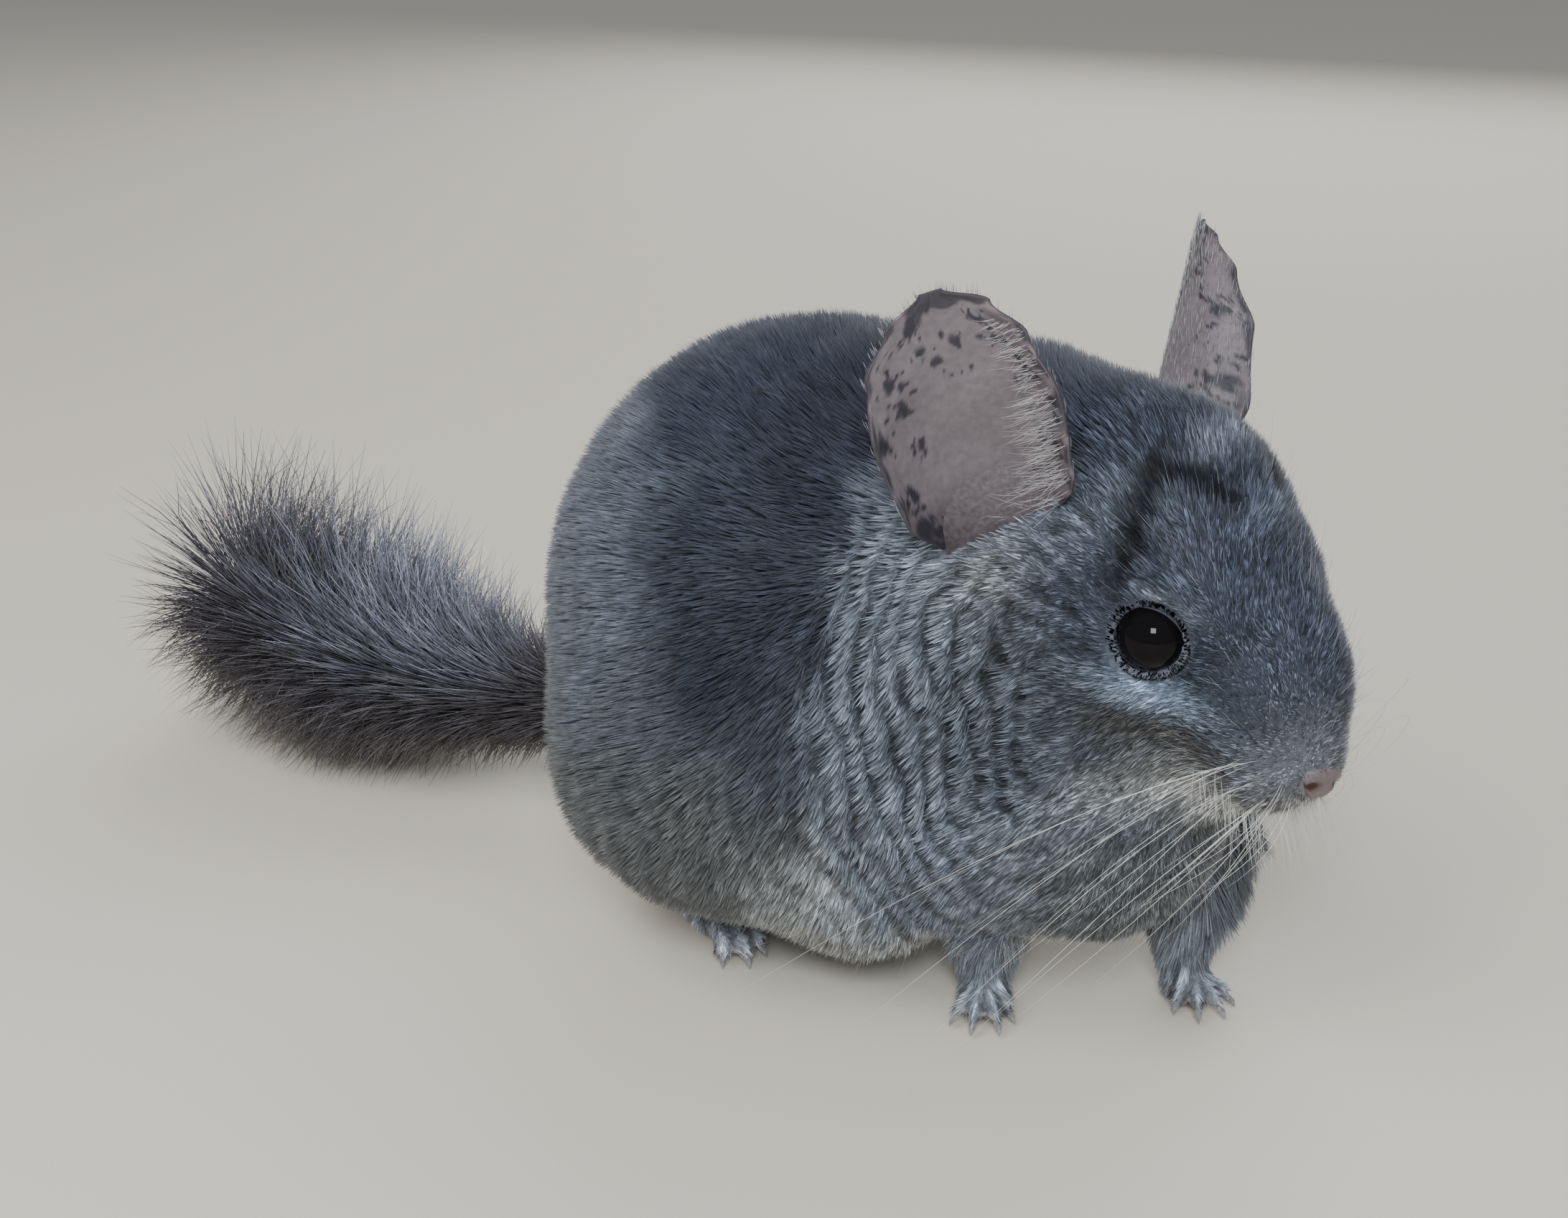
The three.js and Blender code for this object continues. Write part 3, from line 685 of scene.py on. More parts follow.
def bare(points, normals):
    """True on the eyeballs' openings, in the ears, on the nose pad and on the soles."""
    head = to_head(points)
    across = np.abs(head[:, 1] - NOSE_SIDE) / 4.3
    up = np.abs(head[:, 2] - NOSE_HEIGHT) / 2.6
    pad = (head[:, 0] > 28) & (across**2 + up**2 < 1)
    sole = (points[:, 2] < 1.0) | ((normals[:, 2] < -0.7) & (points[:, 2] < 3.5))
    return (eye_distance(points) < EYE_RADIUS + 0.25) | (inside_ear(points)[0] > 0.5) | pad | sole

# %% [markdown]
# ## Markings
# A standard grey chinchilla is slate blue-grey above, paler on the flanks and nearly white under the chin and
# the belly, with a darker saddle behind the shoulder. One rule colours the skin and the coat, from where a
# point lies on the animal; it also paints the head's shadow on the chest, the chest fringe's shadow on the
# legs, and highlight and shade on the toes. Small marks on the face are soft blots, each with a centre, a
# reach and a colour; some are painted light and shade: a highlight on the brow, shade in the creases of the
# brow and forehead, and a reflection under each eye.

# %% Colours of the coat
SLATE = linear(53, 58, 71)
RUMP = linear(97, 103, 115)
SADDLE = linear(43, 47, 58)
FLANK = linear(70, 75, 86)
LOWER_FLANK = linear(92, 95, 97)
BELLY = linear(160, 165, 169)
UNDERSIDE = linear(146, 148, 147)
CHEST_IN_HEAD_SHADOW = linear(96, 100, 104)
LEG_GREY = linear(128, 136, 146)
HIND_GREY = linear(160, 167, 176)
FACE_GREY = linear(64, 70, 83)
CHEEK_GREY = linear(84, 90, 99)
NECK_GREY = linear(112, 120, 132)
CREST = linear(46, 51, 63)
FACE_MARKS_AND_PAINTED_LIGHT = [
    # Painted highlight: a pale band on the brow just above the eye.
    ((0, 23, 8.6), (6, 9, 1.6), linear(122, 131, 144), 0.9),
    ((-6, 18, 15), (6, 7, 5), linear(42, 46, 57), 0.6),
    # The next five blots are painted shade in the creases of the brow and the forehead.
    ((-15, 16, 24), (3.5, 5, 4), linear(27, 30, 38), 0.8),
    ((-12.5, 20, 17), (3.2, 5, 5), linear(27, 30, 38), 0.85),
    ((-10, 24, 10), (3, 5, 4.2), linear(29, 32, 40), 0.85),
    ((-15, 12, 28), (6, 7, 4), linear(36, 40, 50), 0.9),
    ((-5, 9, 26), (7, 6, 5), linear(38, 42, 52), 0.85),
    ((-1, 3, 24), (4, 4, 3), linear(116, 126, 144), 0.7),
    ((-14, 4, 30), (4, 4, 3), linear(128, 136, 150), 0.7),
    ((3, 11, 22), (4, 4, 2), linear(116, 126, 144), 0.6),
    # The next two blots are a painted reflection: a bluish-white sheen on the fur under the eye.
    ((7, 20, -9.2), (8, 8, 3.6), linear(170, 190, 216), 1.0),
    ((3, 23, -11.2), (5, 7, 2), linear(188, 206, 230), 0.8),
    ((14, 14, -17), (10, 9, 3.4), linear(80, 76, 73), 0.85),
    ((3, 19, -19), (9, 9, 3.4), linear(82, 79, 76), 0.75),
    ((10, 17, -26), (9, 9, 5), linear(78, 80, 82), 0.6),
    ((20, 12, -15), (6, 6, 3.5), linear(66, 68, 74), 0.7),
    ((28, 10, -12), (4, 5, 4), linear(132, 134, 140), 0.8),
    ((22, 0, 5), (13, 9, 8), linear(74, 80, 94), 0.5),
    ((33, 6, -5), (9, 9, 8), linear(128, 130, 137), 0.85),
    ((-27, 35, -3), (8, 8, 8), linear(120, 121, 119), 0.65),
    ((-21, 27, 14), (6, 6, 9), linear(98, 105, 117), 0.7),
    ((37, 0, -5), (6, 9, 8), linear(132, 134, 141), 0.8),
    ((35, 0, -16.5), (7, 10, 3.6), linear(190, 184, 183), 0.9),
    ((32, 0, -21), (10, 12, 3.5), linear(204, 204, 201), 0.95),
    ((22, 8, -27), (12, 14, 6), linear(184, 185, 182), 0.9),
]


def blot_on(colour, place, blots):
    for centre, reach, blot, strength in blots:
        away = (((place - np.array(centre)) / np.array(reach)) ** 2).sum(1)
        colour = blend_to(colour, blot, np.exp(-away) * strength)
    return colour


def markings(points, legs):
    """The coat's colour at points, from its height, its region and the soft blots, some of it painted light
    and shade.
    """
    head = to_head(points)
    body = points - SHIFT
    face = ramp(head[:, 0], -34, -16)
    along = body[:, 0] + waves(points, 30, 6) * 4.5 + waves(points, 9, 8) * 2
    height = body[:, 2] + waves(points, 26, 5) * 7
    colour = painted(SLATE, len(points))
    colour = blend_to(colour, FLANK, ramp(-height, -116, -100))
    colour = blend_to(colour, RUMP, ramp(-along, 52, 80) * ramp(-height, -126, -100))
    colour = blend_to(colour, LOWER_FLANK, ramp(-height, -84, -46))
    colour = blend_to(colour, BELLY, ramp(-height, -54, -34) * ramp(along, -46, -26))
    colour = blend_to(colour, SADDLE, (0.88 - 0.88 * ramp(np.abs(along + 41), 0, 28)) * ramp(height, 42, 78))
    colour = blend_to(colour, NECK_GREY, ramp(along, -29, -19) * ramp(-height, -128, -108))
    # The chest under the head is made darker than its own near-white: painted shadow of the head.
    chest = ramp(body[:, 0], -4, 18) * ramp(-body[:, 2], -66, -48)
    colour = blend_to(colour, CHEST_IN_HEAD_SHADOW, chest)
    colour = blend_to(colour, UNDERSIDE, ramp(-height, -24, -14))
    muzzle = blend_to(painted(FACE_GREY, len(points)), CHEEK_GREY, ramp(-head[:, 2], 2, 14))
    muzzle = blend_to(muzzle, CREST, ramp(head[:, 2], 22, 30) * ramp(-head[:, 0], 8, 20))
    muzzle = blend_to(muzzle, UNDERSIDE, ramp(-head[:, 2], 25, 32) * ramp(head[:, 0], -2, 10))
    colour = blend_to(colour, muzzle, face * ramp(body[:, 2], 52, 68))
    colour = blot_on(colour, on_one_side(head), FACE_MARKS_AND_PAINTED_LIGHT)
    ring = 1 - ramp(eye_distance(points), EYE_RADIUS + 0.8, EYE_RADIUS + 2.6)
    colour = blend_to(colour, linear(98, 103, 114), ring * 0.85)
    legs_colour = blend_to(painted(LEG_GREY, len(points)), HIND_GREY, ramp(-body[:, 0], 30, 50))
    toe_top, toe_near, _ = toe_ridges(points)
    # Toe tops lighter and the gaps between the toes darker: painted highlight and painted shade.
    legs_colour = legs_colour * (1 + toe_near * (1.6 * toe_top - 0.7))[:, None]
    # Legs darken towards their tops: painted shadow under the chest's fringe.
    legs_colour = legs_colour * np.interp(points[:, 2], [9, 24], [1.0, 0.5])[:, None]
    return blend_to(colour, legs_colour, legs)


skin_points = points_of(skin.data)
skin_normals = normals_of(skin.data)
skin_legs = leg_share(skin_points)
skin_colours = markings(skin_points, skin_legs) * 0.55
in_ear, ear_up = inside_ear(skin_points)
skin_colours = blend_to(skin_colours, ear_base_colour(ear_up) * 0.7, in_ear)
in_head = to_head(skin_points)
# The ear canals are painted nearly black: painted shade in their openings.
ear_canal_shade = np.exp(-((np.abs(in_head) - [27, 31, 3]) ** 2).sum(1) / 9)
skin_colours = blend_to(skin_colours, linear(28, 22, 24), ear_canal_shade * in_ear)
eye_near = 1 - ramp(eye_distance(skin_points), EYE_RADIUS + 0.4, EYE_RADIUS + 1.6)
skin_colours = blend_to(skin_colours, linear(92, 96, 108), eye_near)
toes = skin_legs * ramp(-skin_points[:, 2], -5.5, -2.5)
skin_colours = blend_to(skin_colours, linear(148, 132, 134), toes)
set_tint(skin.data, skin_colours)
skin.data.shade_smooth()
skin.data.materials.clear()
skin.data.materials.append(skin_finish)
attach(skin, "root")
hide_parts(*FLESH)

# %% [markdown]
# ## How a tuft is made
# One tuft stands for a few dozen hairs: a thin spike of three sides, closed at its root, that runs straight
# to a point. Hair strands would be finer, but they are no mesh, and a library part needs one. The tips of one
# small patch of skin lean towards each other, which parts the coat into locks.

# %% Tufts as arrays
def spikes(roots, lie, normals, lengths, lifts):
    """Where each tuft's tip lies, and the direction across it."""
    across = unit(np.cross(normals, lie))
    start = unit(lie * np.cos(lifts)[:, None] + normals * np.sin(lifts)[:, None])
    return across, roots + start * lengths[:, None]


def lock_of(roots, size):
    """The number of the small patch of skin that each root grows on: its hairs make one lock."""
    keys = np.floor((roots + waves(roots, 9, 3)[:, None] * 1.2) / size).astype(np.int64)
    keys = keys[:, 0] * 73856093 ^ keys[:, 1] * 19349663 ^ keys[:, 2] * 83492791
    return np.unique(keys, return_inverse=True)[1]


def gather(points, cell, share):
    """Points moved towards the mean of those in the same lock."""
    count = np.bincount(cell)
    means = np.stack([np.bincount(cell, points[:, i]) / count for i in range(3)], 1)
    return points + (means[cell] - points) * share


TUFT = np.array([[0, 3, 2], [2, 3, 1], [1, 3, 0], [0, 2, 1]])


def blades(roots, tip, across, normals, widths):
    """The four corner points of each tuft: three round its root, and its tip."""
    up = normals * (widths * 0.55)[:, None]
    side = across * (widths / 2)[:, None]
    return np.stack([roots - side, roots + side, roots + up, tip], 1)


# %% [markdown]
# ## Where hair grows and which way it lies
# Roots are drawn at random over the skin's triangles, as many to a square millimetre as the place needs. Hair
# lies away from the nose over the head, back over the body, down over the chest and the legs, along the toes,
# and away from the eyes all round.

# %% Scatter roots over the skin
def triangles_of(mesh):
    flat = np.zeros(len(mesh.polygons) * 3, np.int32)
    mesh.polygons.foreach_get("vertices", flat)
    return flat.reshape(-1, 3)


skin_triangles = triangles_of(skin.data)
corner = skin_points[skin_triangles]
face_area = np.linalg.norm(np.cross(corner[:, 1] - corner[:, 0], corner[:, 2] - corner[:, 0]), axis=1) / 2
face_middle = corner.mean(1)
print("skin area in square mm", round(face_area.sum()))


def scatter(weights):
    """Random roots on the skin where it isn't bare: weights is how many per square mm for each face."""
    wanted = face_area * weights
    total = int(wanted.sum())
    faces = np.searchsorted(np.cumsum(wanted), draw.uniform(0, wanted.sum(), total))
    a, b = draw.uniform(size=(2, total))
    flip = a + b > 1
    a[flip], b[flip] = 1 - a[flip], 1 - b[flip]
    weight = np.stack([1 - a - b, a, b], 1)[:, :, None]
    roots = (skin_points[skin_triangles[faces]] * weight).sum(1)
    normals = unit((skin_normals[skin_triangles[faces]] * weight).sum(1))
    legs = (skin_legs[skin_triangles[faces]] * weight[:, :, 0]).sum(1)
    keep = ~bare(roots, normals)
    return roots[keep], normals[keep], legs[keep]


# %% Which way the hair lies
def lie_of(points, normals, legs):
    """Away from the nose over the head, back and down over the body, and down the legs."""
    head = to_head(points)
    body = points - SHIFT
    from_nose = unit(head - NOSE_TIP) @ HEAD_AXES.T
    back = painted(np.array([-1, 0, -0.38]), len(points))
    back[:, 1] = (body[:, 1] - 6) * 0.004
    down = np.array([-0.25, 0, -1])
    chest = (ramp(body[:, 0], -18, 16) * ramp(-body[:, 2], -74, -52))[:, None]
    trunk = unit(back) * (1 - chest) + unit(down) * chest
    on_head = ramp(head[:, 0], -46, -14)[:, None]
    nape = (ramp(-head[:, 0], 6, 16) * ramp(head[:, 0], -62, -44) * ramp(-body[:, 2], -112, -84))[:, None]
    lie = from_nose * on_head + trunk * (1 - on_head) + np.array([0, 0, -0.9]) * nape
    _, toe_near, toe_heading = toe_ridges(points)
    down_leg = np.array([0, 0, -1.0]) * (1 - toe_near)[:, None] + toe_heading * toe_near[:, None]
    lie = lie * (1 - legs)[:, None] + down_leg * legs[:, None]
    flip = np.where(head[:, 1:2] < 0, [1, 1, 1], [1, -1, 1])
    from_eye = head * flip - eyes_in_head[0]
    near = 1 - ramp(np.linalg.norm(from_eye, axis=1), EYE_RADIUS + 0.5, EYE_RADIUS + 3.5)
    from_eye = from_eye * flip
    lie = lie + unit(from_eye) @ HEAD_AXES.T * near[:, None] * 2.0
    lie = lie + np.stack([waves(points, 16, seed) * 0.22 for seed in (11, 12, 13)], 1)
    lie = lie - normals * (lie * normals).sum(1, keepdims=True)
    return unit(lie)


# %% [markdown]
# ## The coat
# Body fur stands up steeply, so that little but its tips is seen, as on plush. It is longest in the fringe
# under the chest and high on the legs. Face and feet have finer and shorter fur that lies flatter. A tuft is
# dark at its root and most are paler at the tip, each lock has its own tone, and folds get a painted
# highlight on top and painted shade between. The coat is cut into slices round the body, each under 200,000
# triangles.

# %% Grow the coat
def tuft_colours(base, ridge, roots, cell, contrast):
    """Colours by tuft and corner: dark at the root, one tone to a lock, some tips dark or pale, and a painted
    highlight on fold ridges with painted shade in their creases.
    """
    count = len(roots)
    lightness = 1 + draw.normal(0, 0.1, count) + 0.1 * waves(roots, 2.2, 41) + 0.12 * waves(roots, 5, 42)
    lightness *= np.exp(draw.normal(0, 0.42, cell.max() + 1)[cell] * contrast)
    # Painted highlight on the fold ridges and painted shade in the folds' creases.
    lightness *= 1 + np.where(ridge > 0, 0.36, 0.8) * np.maximum(ridge, -1.12)
    body = base * np.clip(lightness, 0.2, 2.2)[:, None]
    ticking = draw.uniform(size=count)
    pale_or_plain = np.where(ticking > 0.62, 1 + 0.85 * contrast, 1.05)
    tip_share = np.where(ticking < 0.28, 1 - 0.6 * contrast, pale_or_plain)
    by_eye = 1 - ramp(eye_distance(roots), EYE_RADIUS + 1, EYE_RADIUS + 4)
    tip_share = tip_share + (1.05 - tip_share) * by_eye
    root = body * (0.5 + 0.45 * by_eye)[:, None]
    tip = body * tip_share[:, None]
    return np.stack([root, root, root, tip], 1)


def unwrap(points, middle):
    """The skin seen from a point inside it, laid flat: angle round the body, and angle from the nose end."""
    ray = unit(points - middle)
    turn = np.arctan2(ray[:, 1], ray[:, 2]) / (2 * math.pi) + 0.5
    return np.stack([turn, np.arccos(ray[:, 0]) / math.pi], 1)


TUFT_PATCH = 0.003
PIECE_TRIANGLES = 190000
BODY_LOCK = 1.05
FACE_LOCK = 0.8
LEG_LOCK = 1.2


def coat_piece(name, roots, normals, legs, lengths, widths, lifts, clump, middle, contrast):
    """One piece of the coat, with a small patch of the OFBake map for each tuft."""
    count = len(roots)
    lie = lie_of(roots, normals, legs)
    across, tip = spikes(roots, lie, normals, lengths, lifts)
    ridge = fold_bands(roots * 0.7 + tip * 0.3)
    cell = lock_of(roots, clump)
    tip = gather(tip, cell, 0.4)
    points = blades(roots - normals * 0.3, tip, across, normals, widths)
    points[:, :, 2] = np.maximum(points[:, :, 2], 0.15)
    colours = tuft_colours(markings(roots * 0.3 + tip * 0.7, legs), ridge, roots, cell, contrast)
    flat = unwrap(roots, middle)
    low, high = flat.min(0), flat.max(0)
    flat = TUFT_PATCH + (flat - low) / (high - low) * (1 - 3 * TUFT_PATCH)
    angle = np.linspace(0, 2 * math.pi, 4, endpoint=False)
    patch = np.stack([np.cos(angle), np.sin(angle)], 1) * TUFT_PATCH / 2
    uvs = (flat[:, None] + patch[None]).reshape(-1, 2)
    triangles = (TUFT[None] + (np.arange(count) * 4)[:, None, None]).reshape(-1, 3)
    soft = np.repeat(normals[:, None], 4, 1).reshape(-1, 3)
    outward = unit(points - ((roots + tip) / 2)[:, None]).reshape(-1, 3)
    return mesh_object(
        name,
        points.reshape(-1, 3),
        triangles,
        coat_finish,
        colours=colours.reshape(-1, 3),
        uvs=uvs,
        normals=soft * 0.78 + outward * 0.22,
    )


def slices_round(middle, roots):
    """The roots' numbers in slices round a point of the animal's inside, none with too many triangles."""
    order = np.argsort(np.arctan2(roots[:, 1] - middle[1], roots[:, 2] - middle[2]))
    return np.array_split(order, math.ceil(len(order) * len(TUFT) / PIECE_TRIANGLES))


middle_to_head = to_head(face_middle)
face_legs = skin_legs[skin_triangles].mean(1)
on_face = ramp(middle_to_head[:, 0], -38, -26)

roots, normals, legs = scatter((1 - on_face) * (1 - face_legs) * 3.5)
TORSO_MIDDLE = from_body([-50, 6, 62])
for number, part in enumerate(slices_round(TORSO_MIDDLE, roots)):
    head_x = to_head(roots[part])[:, 0]
    lengths = np.interp(head_x, [-66, -40], [4.7, 3.8]) * draw.uniform(0.75, 1.15, len(part))
    low = roots[part] - SHIFT
    fringe = ramp(low[:, 0], -16, 2) * ramp(-low[:, 2], -44, -34)
    lengths = lengths * (1 + 1.7 * fringe * draw.uniform(0.4, 1.2, len(part)))
    upright = ramp(-head_x, 34, 60)
    lifts = np.radians(draw.uniform(42, 62, len(part)) + 12 * fringe + 12 * upright)
    widths = draw.uniform(0.38, 0.62, len(part))
    coat_piece(
        f"coat_body_{number + 1}", roots[part], normals[part], legs[part], lengths, widths, lifts,
        BODY_LOCK, TORSO_MIDDLE, contrast=0.42 - 0.1 * upright,
    )

# %% Grow the face's coat
tufts_per_mm2 = np.interp(middle_to_head[:, 0], [-30, 10], [4.5, 7.2])
roots, normals, legs = scatter(on_face * (1 - face_legs) * tufts_per_mm2)
HEAD_MIDDLE = from_head(SKULL)
for number, part in enumerate(slices_round(HEAD_MIDDLE, roots)):
    head_x = to_head(roots[part])[:, 0]
    lengths = np.interp(head_x, [-36, -12, 8, 30], [3.7, 3.0, 2.3, 1.5]) * draw.uniform(0.7, 1.25, len(part))
    from_eye = ramp(eye_distance(roots[part]), EYE_RADIUS + 0.4, EYE_RADIUS + 4)
    lengths = lengths * (0.4 + 0.6 * from_eye)
    near_ear = np.linalg.norm(np.abs(to_head(roots[part])) - np.array([22, 27, 4]), axis=1) < 15
    lengths = np.where(near_ear, lengths * 0.6, lengths)
    widths = np.interp(head_x, [-30, 10], [0.44, 0.27]) * draw.uniform(0.75, 1.25, len(part))
    widths = widths * (0.7 + 0.3 * from_eye)
    lifts = np.radians(draw.uniform(26, 54, len(part))) * (0.4 + 0.6 * from_eye)
    coat_piece(
        f"coat_face_{number + 1}", roots[part], normals[part], legs[part], lengths, widths, lifts,
        FACE_LOCK, HEAD_MIDDLE, contrast=np.interp(head_x, [0, 20], [0.9, 1.3]),
    )

# %% Grow the legs' coat
roots, normals, legs = scatter(face_legs * 3.6)
lengths = np.interp(roots[:, 2], [4, 12, 26], [2.1, 3.6, 7.0]) * draw.uniform(0.75, 1.2, len(roots))
widths = draw.uniform(0.28, 0.45, len(roots))
lifts = np.radians(draw.uniform(14, 34, len(roots)))
coat_piece(
    "coat_legs", roots, normals, legs, lengths, widths, lifts,
    LEG_LOCK, from_body([-30, 6, 20]), contrast=0.6,
)

# %% [markdown]
# ## The ears
# A chinchilla's ear is a big, thin, almost bare cup with dark freckles near its rim and a folded strip at the
# front. It is a grid bent round a curve whose radius grows towards the tip, with a front and a back face.
# Pale hairs stand along its front edge and a short down covers its back.

# %% Ear shape
def ear_point(side, root_side, lean, height, spread, depth):
    """A point of the ear: height from root to tip, spread from -1 to 1 across, depth towards the inside."""
    along, opening, across = ear_axes(side, lean)
    front = spread * -side
    radius = ear_curl(height)
    angle = spread * ear_arc(height) / radius
    out = radius - depth
    fold = ramp(front, 0.62, 1.0) * ramp(height, 0.02, 0.25) * (1 - ramp(height, 0.75, 0.97))
    ripple = 0.35 * np.sin(height * 19 + spread * 3) * ramp(np.abs(spread), 0.5, 1)
    return (
        ear_root(side, root_side)
        + along * (height * EAR_LENGTH)[..., None]
        + across * (np.sin(angle) * out + side * fold * 1.5)[..., None]
        + opening * (radius - np.cos(angle) * out - CUP_DEPTH + fold * 2.6 + ripple)[..., None]
    )


def ear_spots(side):
    """Freckles as place across, place along and size in mm: blotches, each with small ones round it."""
    rng = np.random.default_rng(90 + side)
    blotches = [(15.5, 12, 3.0), (14, 8.5, 1.9), (-15, 20, 1.9), (9, 46.5, 2.3), (16, 30, 2.0), (3, 49, 1.9)]
    blotches += [(12.5, 17.5, 1.2), (13, 38, 1.5), (-13, 33, 1.4), (-9, 44, 1.5), (8, 24, 0.9), (10, 33, 0.9)]
    spots = list(blotches)
    for x, y, size in blotches:
        for _ in range(9):
            away, turn = size * rng.uniform(0.9, 2.4), rng.uniform(0, 2 * math.pi)
            spots.append((x + away * math.cos(turn), y + away * math.sin(turn), rng.uniform(0.2, 0.75)))
    for _ in range(60):
        x = rng.uniform(9, 19) * rng.choice([-1, 1])
        spots.append((x, rng.uniform(4, 47), rng.gamma(2, 0.2) + 0.2))
    for _ in range(30):
        spots.append((rng.uniform(-11, 11), rng.uniform(34, 50), rng.gamma(2, 0.2) + 0.2))
    return spots


def ear_mesh(name, side, root_side, lean, rows=100, columns=84):
    height = EAR_ROOT_AT + (1 - EAR_ROOT_AT) * np.sin(np.linspace(0, 1, rows + 1) * math.pi / 2)
    spread = np.linspace(-1, 1, columns + 1)
    grid_height, grid_spread = np.meshgrid(height, spread, indexing="ij")
    rim = np.maximum(np.abs(grid_spread), ramp(grid_height, 0.45, 1.0))
    thick = EAR_THICKNESS / 2 * (1.5 - 0.9 * rim)
    inner = ear_point(side, root_side, lean, grid_height, grid_spread, thick)
    outer = ear_point(side, root_side, lean, grid_height, grid_spread, -thick)
    points = np.concatenate([inner.reshape(-1, 3), outer.reshape(-1, 3)])
    triangles = sheet_faces(rows + 1, columns + 1)
    a, b, c = points[triangles[:, 0]], points[triangles[:, 1]], points[triangles[:, 2]]
    if (np.cross(a, b) * c).sum() < 0:
        triangles = triangles[:, ::-1]
    both = np.concatenate([rim.ravel(), rim.ravel()])
    heights = np.concatenate([grid_height.ravel()] * 2)
    flat = np.stack([np.concatenate([grid_spread.ravel()] * 2) * 18 * side, heights * EAR_LENGTH], 1)
    flat = flat + np.stack([waves(points, 2.4, 31), waves(points, 2.4, 32)], 1) * 0.4
    spots = np.zeros(len(flat))
    for x, y, size in ear_spots(side):
        spots = np.maximum(spots, 1 - ramp(np.hypot(flat[:, 0] - x, flat[:, 1] - y), size * 0.6, size * 1.15))
    spots = np.maximum(spots, ramp(both + waves(points, 5, 36) * 0.05, 0.93, 0.975) * 0.85)
    base = ear_base_colour(heights) * (1 + waves(points, 14, 35)[:, None] * 0.08)
    base = base * (1 + waves(points, 2.5, 37)[:, None] * 0.05)
    colours = blend_to(base, linear(38, 38, 46), spots * 0.93)
    return mesh_object(name, from_head(points), triangles, ear_finish, colours=colours)


for name, (side, root_side, lean) in EARS.items():
    ear = ear_mesh(name.replace("ear", "ear_skin"), side, root_side, lean)
    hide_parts(name)


# %% Long hairs as tapered tubes
def hairs(name, paths, radii, colours, material, sides, tint_tips=1.0, flat=None):
    """Closed tapered tubes. paths is hair by step by xyz in mm, and radii is at each hair's root.
    flat is each root's place on the unwrapped skin under it, from 0 to 1."""
    paths = np.asarray(paths, float)
    count, steps, _ = paths.shape
    along = unit(np.gradient(paths, axis=1))
    helper = np.where(np.abs(along[:, :, 2:]) > 0.9, np.array([1.0, 0, 0]), np.array([0, 0, 1.0]))
    first = unit(np.cross(along, helper))
    second = np.cross(along, first)
    share = np.linspace(0, 1, steps)
    width = np.asarray(radii, float)[:, None] * np.interp(share, [0, 0.15, 0.6, 1], [0.8, 1, 0.7, 0.15])[None]
    angle = np.arange(sides) * 2 * math.pi / sides
    round_cos, round_sin = np.cos(angle)[:, None], np.sin(angle)[:, None]
    ring = first[:, :, None] * round_cos + second[:, :, None] * round_sin
    points = paths[:, :, None] + ring * width[:, :, None, None]
    at = np.arange(steps * sides).reshape(steps, sides)
    after = np.roll(at, -1, 1)
    walls = np.stack([at[:-1], after[:-1], after[1:]], -1).reshape(-1, 3)
    more = np.stack([at[:-1], after[1:], at[1:]], -1).reshape(-1, 3)
    caps = [[0, i + 1, i] for i in range(1, sides - 1)]
    last = (steps - 1) * sides
    caps += [[last, last + i, last + i + 1] for i in range(1, sides - 1)]
    pattern = np.concatenate([walls, more, np.array(caps)])
    triangles = (pattern[None] + (np.arange(count) * steps * sides)[:, None, None]).reshape(-1, 3)
    fade = np.interp(share, [0, 0.4, 1], [1 / tint_tips**0.5, 1.0, tint_tips])[None, :, None, None]
    tints = np.broadcast_to(np.asarray(colours)[:, None, None] * fade, points.shape)
    uvs = None
    if flat is not None:
        patch = np.stack([np.cos(angle)[None] * share[:, None], np.sin(angle)[None] * share[:, None]], -1)
        inner = TUFT_PATCH + np.asarray(flat) * (1 - 3 * TUFT_PATCH)
        uvs = (inner[:, None] + patch.reshape(1, -1, 2) * TUFT_PATCH / 2).reshape(-1, 2)
    return mesh_object(
        name, points.reshape(-1, 3), triangles, material, colours=tints.reshape(-1, 3), uvs=uvs
    )


def thin_hairs(name, paths, radius, colours, sides=3, flat=None):
    """Single stiff hairs that are all equally thick at the root."""
    return hairs(name, paths, np.full(len(paths), radius), colours, whisker_finish, sides, flat=flat)


def arcs(roots, starts, lengths, bends, steps):
    """Paths that leave their roots along starts and are bent by bends, given over the whole length."""
    share = np.linspace(0, 1, steps)[None, :, None]
    lengths = np.asarray(lengths, float)[:, None, None]
    return roots[:, None] + starts[:, None] * share * lengths + bends[:, None] * share**2 * lengths


